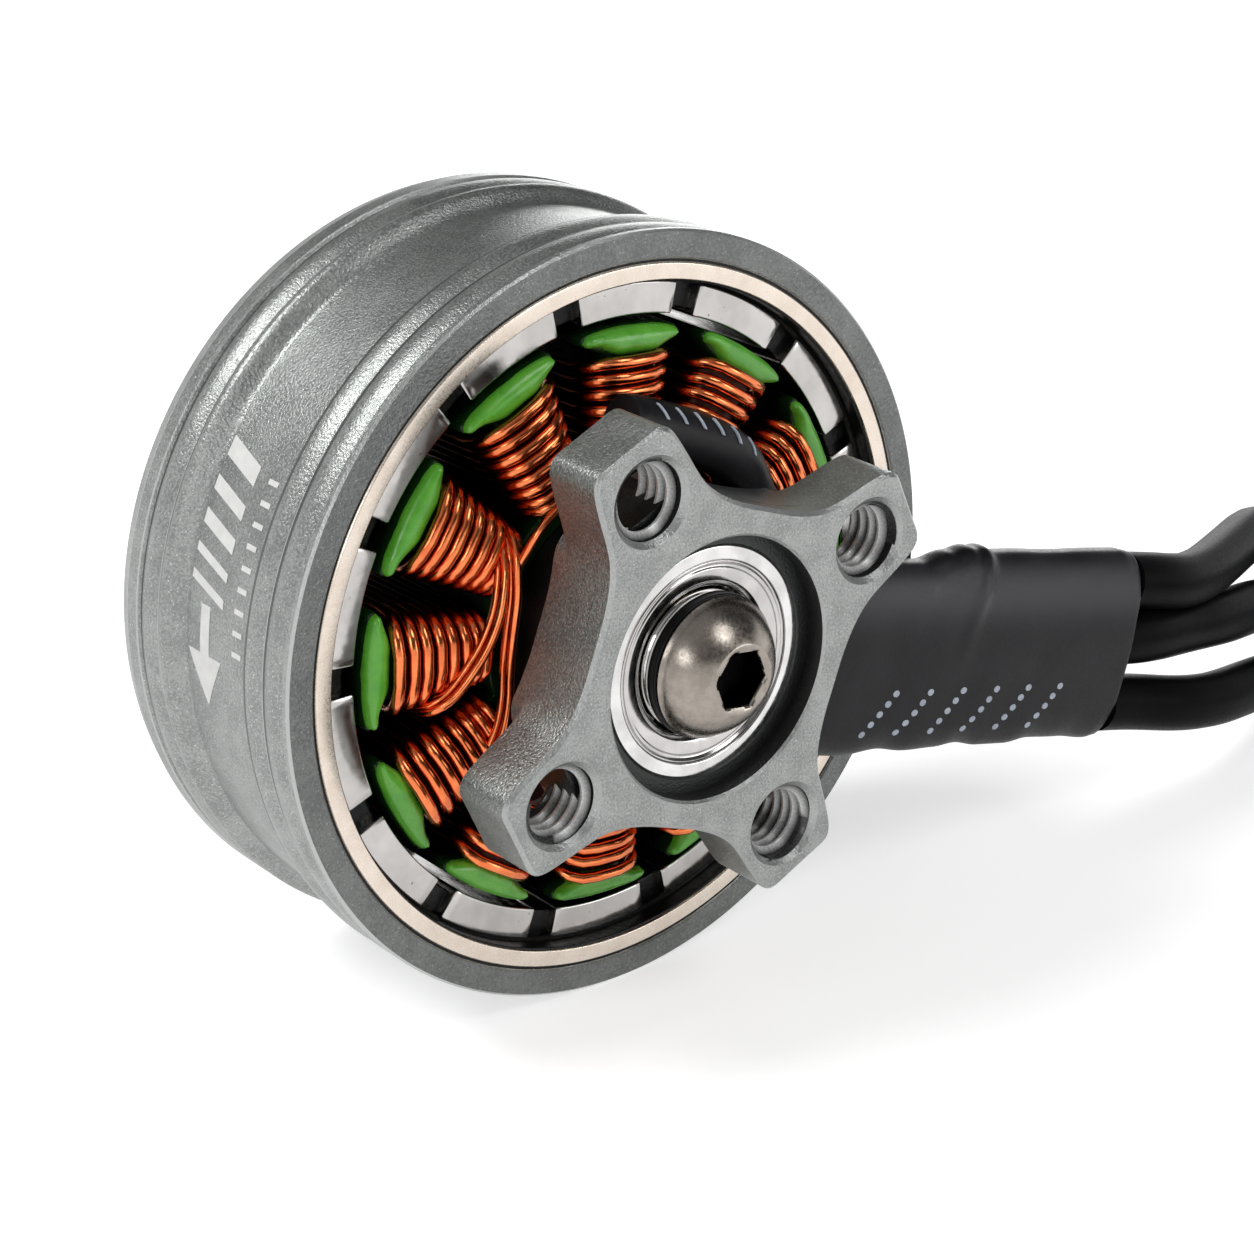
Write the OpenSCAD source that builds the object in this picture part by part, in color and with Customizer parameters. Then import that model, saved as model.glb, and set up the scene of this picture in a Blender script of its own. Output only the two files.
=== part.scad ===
// Brushless outrunner motor for a drone, lying on the rims of its bell.
// The origin is the centre of the mounting face, which looks along -Y. The shaft runs along +Y.
// Inside motor(), z points out of the mounting face and -z is the depth into the motor.

/* [Mounting base] */
// Diameter of the circle through the four mounting holes
bolt_circle = 16; // [15:0.5:19]
// Diameter of the mounting screws
bolt_d = 3; // [2:0.1:3.2]
// Countersink around each mounting hole
bolt_chamfer = 0.2; // [0.1:0.05:0.4]
// Metal left around a mounting hole, across the arm
arm_side_wall = 0.85; // [0.6:0.05:1.2]
// Metal left between a mounting hole and the end of its arm
arm_end_wall = 0.9; // [0.7:0.05:1.4]
// Thickness of the arms
arm_t = 2.6; // [2:0.1:4]
// Radius of the corners at the end of an arm
arm_corner_r = 1.1; // [0.6:0.1:1.4]
// Radius of the fillet between an arm and the hub
arm_fillet_r = 2.5; // [1.5:0.1:3]
// Chamfer along the edges of the base
base_edge = 0.15; // [0.1:0.05:0.4]
// Wall of the hub around the counterbore
hub_wall = 1.1; // [0.8:0.1:1.6]
// How much deeper the hub is than the arms
hub_step = 0.6; // [0.3:0.1:1]
// How far the counterbore is wider than the bearing, on the radius
counterbore_gap = 0.6; // [0.3:0.1:0.9]
// Turn of the base about the shaft as the motor lies
base_turn = 20.7; // [0:0.1:45]

/* [Bearings] */
// Bore of the bearings
bearing_bore = 4; // [3:0.5:4]
// Outer diameter of the bearings
bearing_od = 9; // [8.5:0.5:10]
// Width of the bearings
bearing_w = 4; // [3:0.5:4]
// Diameter of the balls
ball_d = 1.6; // [1.3:0.1:1.7]
// Balls in one bearing
ball_count = 7; // [5:1:8]
// Depth of the front bearing below the mounting face
bearing_recess = 0.9; // [0.5:0.1:1.2]
// Wall of the tube that holds the bearings
tube_wall = 0.5; // [0.4:0.1:1]

/* [Stator] */
// Outer diameter of the stator
stator_od = 23; // [22.5:0.5:25]
// Height of the lamination stack
stack_h = 7; // [5:0.5:10]
// Number of teeth
tooth_count = 12; // [9:3:12]
// Width of the gap between two tooth tips
slot_open = 1.45; // [1:0.05:2]
// Thickness of a tooth tip in the middle
tip_t = 1.05; // [0.9:0.05:1.2]
// Thickness of a tooth tip at its ends
tip_end_t = 0.35; // [0.25:0.05:0.5]
// Width of the shank of a tooth
shank_w = 2; // [1.4:0.1:2]
// Thickness of the ring that carries the teeth
yoke_t = 0.9; // [0.7:0.1:1.2]
// Angle of the first tooth
tooth_phase = 16.5; // [0:0.5:30]

/* [Windings] */
// Diameter of the wire
wire_d = 0.46; // [0.36:0.02:0.46]
// Height of the windings over each end of the stack
winding_bulge = 0.9; // [0.8:0.05:1.3]

/* [Magnets and ring] */
// Number of magnets
magnet_count = 14; // [12:2:14]
// Thickness of a magnet
magnet_t = 1.25; // [1:0.05:1.6]
// Length of a magnet
magnet_len = 7.8; // [6:0.1:9]
// Angle that a magnet covers, in degrees
magnet_arc = 20.6; // [18:0.2:22]
// Depth of the magnets behind the front edge of the ring
magnet_inset = 0.75; // [0.4:0.05:1.2]
// Gap between the magnets and the stator
air_gap = 0.35; // [0.2:0.05:0.5]
// Glue between the magnets and the ring
glue_gap = 0.2; // [0.1:0.05:0.3]
// Wall of the steel flux ring
ring_t = 0.7; // [0.6:0.05:1]
// Angle of the first magnet
magnet_phase = 4.4; // [0:0.1:25]

/* [Bell] */
// Wall of the bell outside the ring, at its rims
rim_wall = 1.1; // [0.9:0.05:1.6]
// Depth of the waist below the rims
waist_depth = 0.62; // [0.3:0.02:0.7]
// Thickness of the spoked end of the bell
bell_top_t = 2.2; // [1.6:0.1:3]
// Room between the windings and the spoked end
end_gap = 0.6; // [0.4:0.1:1]
// Radius of the hub of the bell
bell_hub_r = 5.6; // [4.5:0.1:6]
// Height of the propeller seat above the spokes
seat_h = 0.8; // [0.5:0.1:2]
// Number of spokes
spoke_count = 6; // [5:1:7]
// Width of a spoke
spoke_w = 2.2; // [1.6:0.1:3]

/* [Shaft and screw] */
// Diameter of the propeller stud
stud_d = 5; // [4.6:0.2:5]
// Length of the propeller stud above its seat
stud_len = 13; // [10:1:20]
// Diameter of the head of the retaining screw
head_d = 5.5; // [4.8:0.1:5.7]
// Height of the head of the retaining screw
head_h = 1.65; // [1.3:0.05:1.8]
// Width across the flats of its hexagon socket
socket_af = 2; // [1.5:0.1:2]
// Thickness of the washer under the head
washer_t = 0.45; // [0.3:0.05:0.6]

/* [Leads] */
// Diameter of a lead with its insulation
lead_d = 2.5; // [1.8:0.1:2.6]
// Distance between neighbouring leads in the shrink tube
lead_pitch = 2.8; // [2.6:0.1:2.9]
// Length of each lead beyond the shrink tube
lead_free_len = 105; // [95:1:110]
// Length of the shrink tube that holds the leads together
shrink_len = 19.3; // [12:0.1:20]
// Wall of the shrink tube
shrink_wall = 0.1; // [0.05:0.05:0.15]
// Turn of the leads away from the middle between two arms
lead_turn = 7; // [0:0.5:10]
// Diameter of the sleeves that lead round the bearing tube
sleeve_d = 2.1; // [1.6:0.1:2.2]

/* [Hidden] */
$fn = 64;
arm_count = 4;
over = 0.5;
fit_gap = 0.02;
cable_gap_play = 0.05;

// Depths below the mounting face
cable_gap = lead_d + 2 * shrink_wall + 2 * cable_gap_play;
cable_depth = arm_t + cable_gap / 2;
stack_front = arm_t + cable_gap + winding_bulge;
stack_mid = stack_front + stack_h / 2;
rim_front = stack_front - magnet_inset;
magnet_rear = stack_front + magnet_len;
ring_lip = 0.2;
ring_rear = magnet_rear + ring_lip;
winding_rear = stack_front + stack_h + winding_bulge;
bell_inside = max(winding_rear, ring_rear) + end_gap;
bell_rear = bell_inside + bell_top_t;
seat_depth = bell_rear + seat_h;
tube_end = bell_inside - end_gap;

// Radii
bolt_r = bolt_circle / 2;
arm_w = bolt_d + 2 * arm_side_wall;
arm_reach = bolt_r + bolt_d / 2 + arm_end_wall;
bearing_r = bearing_od / 2;
tube_r = bearing_r + tube_wall;
counterbore_r = bearing_r + counterbore_gap;
hub_r = counterbore_r + hub_wall;
tube_shoulder = 0.5;
stator_r = stator_od / 2;
yoke_r = tube_r + yoke_t;
tip_root_r = stator_r - tip_t;
tip_angle = 360 / tooth_count - slot_open / stator_r * 180 / PI;
tip_half_w = stator_r * sin(tip_angle / 2);
magnet_r = stator_r + air_gap;
ring_r = magnet_r + magnet_t + glue_gap;
bell_bore_gap = 0.07;
bell_bore_r = ring_r + ring_t + bell_bore_gap;
bell_r = bell_bore_r + rim_wall;
waist_r = bell_r - waist_depth;

// Bearing
pitch_r = (bearing_bore + bearing_od) / 4;
land_gap = 1;
race_in_r = pitch_r - land_gap / 2;
race_out_r = pitch_r + land_gap / 2;
ball_play = 0.06;
cage_t = 0.5;
cage_h = 2.2;
shield_lip = 0.15;
shield_t = 0.25;
shield_dish = 0.2;

// Bell rims: a strip and two ridges in front of the waist, a slope, a ridge, a land and a chamfer behind it
rim_chamfer = 0.12;
rim_strip_w = 0.45;
ridge_step = 0.08;
ridge_rise = 0.15;
front_ridge_w = 1.4;
rear_slope_w = 0.9;
slope_foot_w = 0.45;
rear_ridge_w = 1.25;
rear_land_w = 0.7;
rear_chamfer_w = 0.6;
rear_chamfer_depth = 0.2;
window_corner_r = 0.8;
rim_ring_w = 2.6;
hub_band_w = 0.9;

// Winding loops
loops = 4.5;
ring_steps = 12;
wire_gap = 0.03;
phase_gap = 0.1;
wire_r = wire_d / 2;
coil_r0 = yoke_r + wire_r + wire_gap;
coil_r1 = tip_root_r - wire_r - wire_gap;
coil_w0 = coil_r0 * tan(180 / tooth_count) - wire_r - phase_gap;
coil_w1 = tip_half_w - wire_r;
coil_h = stack_h / 2 + winding_bulge - wire_r;
wire_sides = 6;
core_steps = 4;

// Screw and shaft
head_top_r = 1.35;
socket_depth = 1.05;
screw_r = 1.25;
screw_len = 7;
thread_depth = 8.5;
shaft_r = bearing_bore / 2 - fit_gap;
shaft_front = bearing_recess + 0.1 * bearing_w;
collar_depth = 0.8;
collar_r = stud_d / 2 + 0.4;
stud_chamfer = 0.5;
washer_r = 2.8;

// Leads: shrink tube, routes and coils
shrink_start = [8.2, 0.2];
shrink_w = 2 * lead_pitch + lead_d + 2 * shrink_wall + 2 * cable_gap_play;
shrink_t = lead_d + 2 * shrink_wall;
lead_sides = 8;
coil_centre = [60, -6];
coil_heading = 20;
coil_gap = 0.1;
coil_first_r = 19.5;
coil_steps = 24;
coil_sides = 6;
tie_t = 0.3;
tie_w = 2.4;
tie_play = 0.1;
tin_d = 1.2;
tin_len = 4;
// Points of the routes between the shrink tube and the coils, from the upper lead to the lower one
lead_routes = [
    [[30.38, 4.29, -5.6], [33.49, 5.46, -6.3], [38.16, 7.79, -7.1], [43.3, 10.4, -8],
     [45.34, 11.06, -9.1], [47.06, 11.07, -11], [48.83, 11.02, -12.8]],
    [[29.87, 4.54, -8.1], [33.57, 5.27, -8.9], [36.37, 6.05, -9.5], [39.81, 7.26, -10.1],
     [42.9, 7.96, -10.97], [45.82, 8.12, -12.13], [48.75, 8.29, -13.16]],
    [[30.01, 3.81, -11.2], [33.25, 4.06, -12], [37.61, 5.15, -12.8], [41.49, 5.66, -13.34],
     [45.22, 5.65, -13.57], [48.93, 5.74, -13.61]]
];
// Points of the sleeves, beside the bearing tube
upper_sleeve_route = [
    [-6.9, 5.4], [-5.6, 6.7], [-3.6, 7.5], [-1.2, 7.75], [1.2, 7.7], [3.2, 7.2],
    [4.8, 6.1], [5.7, 4.9], [6.2, 3.9], [6.9, 3.1], [7.82, 2.95]
];
lower_sleeve_route = [
    [-6.9, -5.4], [-5.6, -6.7], [-3.6, -7.5], [-1.2, -7.75], [1.2, -7.7], [3.2, -7.2],
    [4.9, -6.1], [5.9, -4.8], [6.6, -3.7], [7.4, -2.9], [8.48, -2.58]
];
middle_sleeve_start = [6.4, -0.02];
// Points of the winding ends that run from tooth to tooth
tail_routes = [
    [[-9.2, 3.2, -4.95], [-8.2, 2.2, -4.75], [-7.4, 0.6, -4.6],
     [-7.2, -1.4, -4.6], [-7.6, -3.2, -4.7], [-8.6, -4.6, -4.95]],
    [[-6.1, 3.9, -4.7], [-6.4, 2.4, -4.55], [-6.5, 0.3, -4.5], [-6.4, -1.8, -4.6], [-6.1, -3.6, -4.7]]
];

lead_names = ["a", "b", "c"];
function two(n) = str(n < 10 ? "0" : "", n);

// Points and sweeps
function unit(v) = v / norm(v);
function flat(lists) = [for (l = lists) each l];
function tangents(path, first, last) = [
    for (i = [0:len(path) - 1])
        i == 0 ? unit(first) : i == len(path) - 1 ? unit(last) : unit(path[i + 1] - path[i - 1])
];
function ring(centre, along, aside, r, sides) = let(
    n1 = unit(aside - (aside * along) * along),
    n2 = cross(along, n1)
) [for (k = [0:sides - 1]) centre + r * (cos(360 * k / sides) * n1 + sin(360 * k / sides) * n2)];
function quad(a, b, c, d) = [[a, d, c], [a, c, b]];
// The wall between two corners of neighbouring rings of a tube
function wall(ring, k, sides) = let(a = ring * sides + k, b = ring * sides + (k + 1) % sides)
    quad(a, b, b + sides, a + sides);
function path_length(path) = len(path) < 2 ? 0 : [for (i = [1:len(path) - 1]) norm(path[i] - path[i - 1])]
    * [for (i = [1:len(path) - 1]) 1];
// Smallest distance between the skins of two turns of a tube, taken at the centres of its rings
function least_gap(path, d, apart) = min([
    for (i = [0:len(path) - 1 - apart]) for (j = [i + apart:len(path) - 1]) norm(path[i] - path[j]) - d
]);

// A closed tube of flat facets along a path, with its first and last rings square to the given directions
module tube(path, d, sides, first, last, aside) {
    dirs = tangents(path, first, last);
    rings = [for (i = [0:len(path) - 1]) ring(path[i], dirs[i], aside, d / 2, sides)];
    last_ring = (len(path) - 1) * sides;
    walls = flat([
        for (i = [0:len(path) - 2]) for (k = [0:sides - 1]) wall(i, k, sides)
    ]);
    caps = flat([
        for (k = [1:sides - 2]) [[0, k, k + 1], [last_ring, last_ring + k + 1, last_ring + k]]
    ]);
    polyhedron(flat(rings), concat(walls, caps));
}

// Places the motor's own frame in the part: the shaft along Y, the base turned as it lies
module motor() {
    rotate([90, 0, 0]) rotate([0, 0, -base_turn]) children();
}
function in_part(p) = [
    p.x * cos(base_turn) + p.y * sin(base_turn),
    -p.z,
    -p.x * sin(base_turn) + p.y * cos(base_turn)
];
module at_depth(d) {
    translate([0, 0, -d]) children();
}

// A turned solid from [radius, depth] points
module turned(profile) {
    rotate_extrude() polygon([for (p = profile) [p[0], -p[1]]]);
}
module washer(outer, inner, top, bottom) {
    turned([[inner, top], [outer, top], [outer, bottom], [inner, bottom]]);
}

// Mounting base
module edged_disc(r, t) {
    turned([[0, 0], [r - base_edge, 0], [r, base_edge], [r, t - base_edge], [r - base_edge, t], [0, t]]);
}
module edged_bar(length, width) {
    half = width / 2;
    rotate([90, 0, 90]) linear_extrude(length) polygon([
        [-half + base_edge, 0], [half - base_edge, 0], [half, -base_edge], [half, base_edge - arm_t],
        [half - base_edge, -arm_t], [-half + base_edge, -arm_t], [-half, base_edge - arm_t],
        [-half, -base_edge]
    ]);
}
module arm_end() {
    width = arm_w - 2 * arm_corner_r;
    translate([0, width / 2, 0]) rotate([90, 0, 0]) linear_extrude(width) polygon([
        [0, 0], [arm_reach - base_edge, 0], [arm_reach, -base_edge], [arm_reach, base_edge - arm_t],
        [arm_reach - base_edge, -arm_t], [0, -arm_t]
    ]);
}
module arm_fillet() {
    side = arm_w / 2 + arm_fillet_r;
    along = sqrt(pow(hub_r + arm_fillet_r, 2) - pow(side, 2));
    flare = arm_fillet_r + base_edge;
    difference() {
        at_depth(arm_t) linear_extrude(arm_t) polygon([[0, 0], [along, 0], [along, side]]);
        translate([along, side, 0]) turned([
            [0, -over], [flare + over, -over], [arm_fillet_r, base_edge], [arm_fillet_r, arm_t - base_edge],
            [flare + over, arm_t + over], [0, arm_t + over]
        ]);
    }
}
module arm() {
    edged_bar(arm_reach - arm_corner_r, arm_w);
    arm_end();
    corner = [arm_reach - arm_corner_r, arm_w / 2 - arm_corner_r];
    for (side = [-1, 1]) translate([corner.x, side * corner.y, 0]) edged_disc(arm_corner_r, arm_t);
    arm_fillet();
    mirror([0, 1, 0]) arm_fillet();
}
module bolt_hole() {
    r = bolt_d / 2;
    turned([
        [0, -over], [r + bolt_chamfer + over, -over], [r, bolt_chamfer], [r, arm_t - bolt_chamfer],
        [r + bolt_chamfer + over, arm_t + over], [0, arm_t + over]
    ]);
}
module mounting_base() {
    seat = bearing_r + fit_gap;
    color([0.4, 0.42, 0.42]) motor() difference() {
        union() {
            edged_disc(hub_r, arm_t + hub_step);
            for (i = [0:arm_count - 1]) rotate(45 + 360 * i / arm_count) arm();
            washer(tube_r, tube_r - tube_wall - tube_shoulder, arm_t, tube_end);
        }
        turned([
            [0, -over], [counterbore_r, -over], [counterbore_r, bearing_recess], [seat, bearing_recess],
            [seat, bearing_recess + bearing_w], [bearing_r - tube_shoulder, bearing_recess + bearing_w],
            [bearing_r - tube_shoulder, tube_end - bearing_w], [seat, tube_end - bearing_w],
            [seat, tube_end + over], [0, tube_end + over]
        ]);
        for (i = [0:arm_count - 1]) rotate(45 + 360 * i / arm_count) translate([bolt_r, 0, 0]) bolt_hole();
    }
}

// Bearings, each drawn from its front face at depth zero
module raceway() {
    at_depth(bearing_w / 2) rotate_extrude() translate([pitch_r, 0]) circle(ball_d / 2 + ball_play);
}
module outer_race() {
    difference() {
        washer(bearing_r, race_out_r, 0, bearing_w);
        raceway();
    }
}
module inner_race() {
    difference() {
        washer(race_in_r, bearing_bore / 2, 0, bearing_w);
        raceway();
    }
}
module shield() {
    outer = race_out_r - fit_gap;
    middle = pitch_r + land_gap / 8;
    inner = race_in_r + land_gap / 8;
    dished = shield_lip + shield_dish;
    turned([
        [outer, shield_lip], [outer, shield_lip + shield_t], [middle, shield_lip + shield_t],
        [middle - shield_t, dished + shield_t], [inner, dished + shield_t],
        [inner, dished], [middle - shield_t, dished], [middle, shield_lip]
    ]);
}
module shields() {
    shield();
    at_depth(bearing_w) mirror([0, 0, 1]) shield();
}
module at_balls() {
    for (i = [0:ball_count - 1]) rotate(360 * i / ball_count) {
        translate([pitch_r, 0, -bearing_w / 2]) children();
    }
}
module balls() {
    at_balls() sphere(d = ball_d);
}
module cage() {
    difference() {
        at_depth((bearing_w - cage_h) / 2) washer(pitch_r + cage_t / 2, pitch_r - cage_t / 2, 0, cage_h);
        at_balls() rotate([0, 90, 0]) cylinder(h = 2 * cage_t, r = ball_d / 2 + ball_play, center = true);
    }
}
module front_bearing() {
    motor() at_depth(bearing_recess) children();
}
module rear_bearing() {
    motor() at_depth(tube_end - bearing_w) children();
}
module front_bearing_outer_race() {
    color("silver") front_bearing() outer_race();
}
module front_bearing_shields() {
    color("gainsboro") front_bearing() shields();
}
module front_bearing_balls() {
    color("white") front_bearing() balls();
}
module front_bearing_cage() {
    color("burlywood") front_bearing() cage();
}
module front_bearing_inner_race() {
    color("silver") front_bearing() inner_race();
}
module rear_bearing_outer_race() {
    color("silver") rear_bearing() outer_race();
}
module rear_bearing_shields() {
    color("gainsboro") rear_bearing() shields();
}
module rear_bearing_balls() {
    color("white") rear_bearing() balls();
}
module rear_bearing_cage() {
    color("burlywood") rear_bearing() cage();
}
module rear_bearing_inner_race() {
    color("silver") rear_bearing() inner_race();
}

// Stator core: a ring with a shank and a tip for each tooth
module tooth_outline() {
    tip_edge_r = stator_r * cos(tip_angle / 2) - tip_end_t;
    inner = tube_r + yoke_t / 2;
    translate([inner, -shank_w / 2]) square([tip_root_r + tip_t / 2 - inner, shank_w]);
    intersection() {
        circle(stator_r);
        polygon([
            [tip_root_r, -shank_w / 2], [tip_edge_r, -tip_half_w], [stator_r, -tip_half_w],
            [stator_r, tip_half_w], [tip_edge_r, tip_half_w], [tip_root_r, shank_w / 2]
        ]);
    }
}
module stator_core() {
    color([0.18, 0.5, 0.16]) motor() at_depth(stack_front + stack_h) linear_extrude(stack_h) difference() {
        union() {
            circle(yoke_r);
            for (i = [0:tooth_count - 1]) rotate(tooth_phase + 360 * i / tooth_count) tooth_outline();
        }
        circle(tube_r + fit_gap);
    }
}

// Windings: a stepped core around the shank, and one wire that winds round it from the ring to the tip
function coil_w(share) = coil_w0 + (coil_w1 - coil_w0) * share;
function oval_point(k, w, h) =
    k < 5 ? [w * cos(45 * k), h - w + w * sin(45 * k)] :
    k == 5 ? [-w, 0] :
    k < 11 ? [w * cos(45 * (k - 2)), w - h + w * sin(45 * (k - 2))] : [w, 0];
wire_path = let(last = loops * ring_steps) [
    for (i = [0:last]) let(p = oval_point(i % ring_steps, coil_w(i / last), coil_h))
        [coil_r0 + (coil_r1 - coil_r0) * i / last, p[0], p[1] - stack_mid]
];
echo(str("winding, least gap of the wire to itself: ", least_gap(wire_path, wire_d, ring_steps / 2), " mm"));

module oval(w, h) {
    square([2 * w, 2 * (h - w)], center = true);
    for (side = [-1, 1]) translate([0, side * (h - w)]) circle(w);
}
module winding_core() {
    step = (coil_r1 - coil_r0) / core_steps;
    inset = wire_r + wire_gap;
    difference() {
        for (i = [0:core_steps - 1]) {
            front = i == 0 ? coil_r0 - wire_r : coil_r0 + i * step;
            back = i == core_steps - 1 ? coil_r1 + wire_r : coil_r0 + (i + 1) * step;
            translate([front, 0, -stack_mid]) rotate([90, 0, 90]) linear_extrude(back - front)
                oval(coil_w(i / core_steps) - inset, coil_h - inset);
        }
        translate([0, -shank_w / 2 - fit_gap, -stack_mid - stack_h / 2 - fit_gap])
            cube([stator_r, shank_w + 2 * fit_gap, stack_h + 2 * fit_gap]);
    }
}
module winding(i) {
    color([0.78, 0.33, 0.12]) motor() rotate(tooth_phase + 360 * (i - 1) / tooth_count) {
        winding_core();
        tube(wire_path, wire_d, wire_sides, [0, 0, 1], [0, 0, -1], [1, 0, 0]);
    }
}
module winding_tails() {
    color([0.78, 0.33, 0.12]) motor() for (route = tail_routes) {
        n = len(route);
        tube(route, wire_d, wire_sides, route[1] - route[0], route[n - 1] - route[n - 2], [0, 0, 1]);
    }
}

// Sleeves and shrink tube around the leads
lead_dir = [cos(lead_turn), sin(lead_turn), 0];
lead_across = [-sin(lead_turn), cos(lead_turn), 0];
shrink_origin = [shrink_start[0], shrink_start[1], -cable_depth];
module sleeve(route) {
    path = [for (p = route) [p[0], p[1], -cable_depth]];
    motor() tube(path, sleeve_d, lead_sides, path[1] - path[0], lead_dir, [0, 0, 1]);
}
module upper_sleeve() {
    color([0.12, 0.12, 0.13]) sleeve(upper_sleeve_route);
}
module lower_sleeve() {
    color([0.12, 0.12, 0.13]) sleeve(lower_sleeve_route);
}
module middle_sleeve() {
    start = [middle_sleeve_start[0], middle_sleeve_start[1], -cable_depth];
    length = norm(shrink_origin - start) - 2 * fit_gap;
    color([0.12, 0.12, 0.13]) motor() translate(start) rotate([0, 90, lead_turn]) {
        cylinder(h = length, d = sleeve_d);
    }
}
module shrink_tube() {
    flat_w = shrink_w - shrink_t;
    color([0.1, 0.1, 0.11]) motor() translate(shrink_origin) rotate([0, 90, lead_turn]) {
        linear_extrude(shrink_len) {
            square([shrink_t, flat_w], center = true);
            for (side = [-1, 1]) translate([0, side * flat_w / 2]) circle(d = shrink_t);
        }
    }
}

// Leads: a free stretch to the floor, then a flat coil of three starts
function lead_exit(k) = in_part(shrink_origin + shrink_len * lead_dir + (1 - k) * lead_pitch * lead_across);
floor_z = -bell_r;
coil_z = floor_z + tie_t + lead_d / 2 + fit_gap;
coil_dir = [cos(coil_heading), sin(coil_heading), 0];
coil_step = lead_d + coil_gap;
coil_pitch = len(lead_names) * coil_step;
function coil_r(k, turns) = coil_first_r - k * coil_step - coil_pitch * turns;
function coil_point(k, turns) = let(a = 90 + coil_heading - 360 * turns) [
    coil_centre[0] + coil_r(k, turns) * cos(a),
    coil_centre[1] + coil_r(k, turns) * sin(a),
    coil_z
];
function coil_start(k) = coil_point(k, 0) - lead_d * coil_dir;
function lead_path(k) = concat(
    [lead_exit(k), lead_exit(k) + lead_d * in_part(lead_dir)],
    lead_routes[k],
    [coil_start(k)]
);
function coil_len(k) = lead_free_len - path_length(lead_path(k)) - lead_d;
// Turns that use up a length of a spiral that draws in by coil_pitch a turn
function coil_turns(k) = let(r = coil_r(k, 0))
    (r - sqrt(r * r - coil_pitch * coil_len(k) / PI)) / coil_pitch;
function coil_path(k) = let(steps = ceil(coil_turns(k) * coil_steps)) concat(
    [coil_start(k)],
    [for (i = [0:steps]) coil_point(k, coil_turns(k) * i / steps)]
);
function coil_end_dir(k) = let(a = coil_heading - 360 * coil_turns(k)) [cos(a), sin(a), 0];
for (k = [0:2]) {
    free = path_length(lead_path(k));
    gap = coil_turns(k) > 1 ? least_gap(coil_path(k), lead_d, coil_steps / 2) : "none, under one turn";
    echo(str("lead ", lead_names[k], ": ", free, " mm free, ", coil_turns(k), " turns, least gap ", gap));
}

module lead(k) {
    color([0.08, 0.08, 0.09])
        tube(lead_path(k), lead_d, lead_sides, in_part(lead_dir), coil_dir, [0, 0, 1]);
}
module lead_coil(k) {
    color([0.08, 0.08, 0.09])
        tube(coil_path(k), lead_d, coil_sides, coil_dir, coil_end_dir(k), [0, 0, 1]);
}
module lead_end(k) {
    dir = coil_end_dir(k);
    color("silver") translate(coil_point(k, coil_turns(k))) rotate([0, 90, atan2(dir.y, dir.x)])
        cylinder(h = tin_len, d = tin_d);
}
// The tie lies across the leads of the coil, on the side away from their start
module coil_tie() {
    turns = 0.5;
    a = 90 + coil_heading - 360 * turns;
    outside = coil_r(0, turns) + lead_d / 2 + tie_play;
    inside = coil_r(2, turns) - lead_d / 2 - tie_play;
    height = lead_d + 2 * fit_gap;
    width = outside - inside;
    color([0.15, 0.15, 0.16]) translate([coil_centre[0], coil_centre[1], floor_z]) rotate(a) difference() {
        translate([inside - tie_t, -tie_w / 2, 0]) cube([width + 2 * tie_t, tie_w, height + 2 * tie_t]);
        translate([inside, -tie_w / 2 - over, tie_t]) cube([width, tie_w + 2 * over, height]);
    }
}

// Bell
function ridge(start, width) = [
    for (i = [0:4]) [bell_r - ridge_rise + ridge_rise * sin(45 * i), start + width * i / 4]
];
front_ridges = rim_front + rim_strip_w;
waist_start = front_ridges + 2 * front_ridge_w;
front_rim = concat(
    [[bell_r - rim_chamfer, rim_front], [bell_r, rim_front + rim_chamfer]],
    [[bell_r, front_ridges - ridge_step]],
    ridge(front_ridges, front_ridge_w),
    // The second ridge falls steeply to the waist
    [for (i = [1:3]) ridge(front_ridges + front_ridge_w, front_ridge_w)[i]],
    [[waist_r, waist_start]]
);
rear_land = bell_rear - rear_chamfer_w - rear_land_w;
rear_ridge = rear_land - rear_ridge_w;
waist_end = rear_ridge - slope_foot_w - rear_slope_w;
rear_rim = concat(
    [for (i = [0:4]) [waist_r + waist_depth * (1 - cos(45 * i)) / 2, waist_end + rear_slope_w * i / 4]],
    ridge(rear_ridge, rear_ridge_w),
    [[bell_r, rear_land + ridge_step], [bell_r, bell_rear - rear_chamfer_w]],
    [[bell_r - rear_chamfer_depth, bell_rear]]
);
module bell_body() {
    turned(concat(
        [[bell_bore_r, rim_front]],
        front_rim,
        rear_rim,
        [
            [bell_hub_r + seat_h / 2, bell_rear], [bell_hub_r, bell_rear + seat_h / 2],
            [bell_hub_r, seat_depth], [0, seat_depth], [0, bell_inside], [bell_bore_r - ring_t, bell_inside],
            [bell_bore_r - ring_t, ring_rear + fit_gap], [bell_bore_r, ring_rear + fit_gap]
        ]
    ));
}
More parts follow.
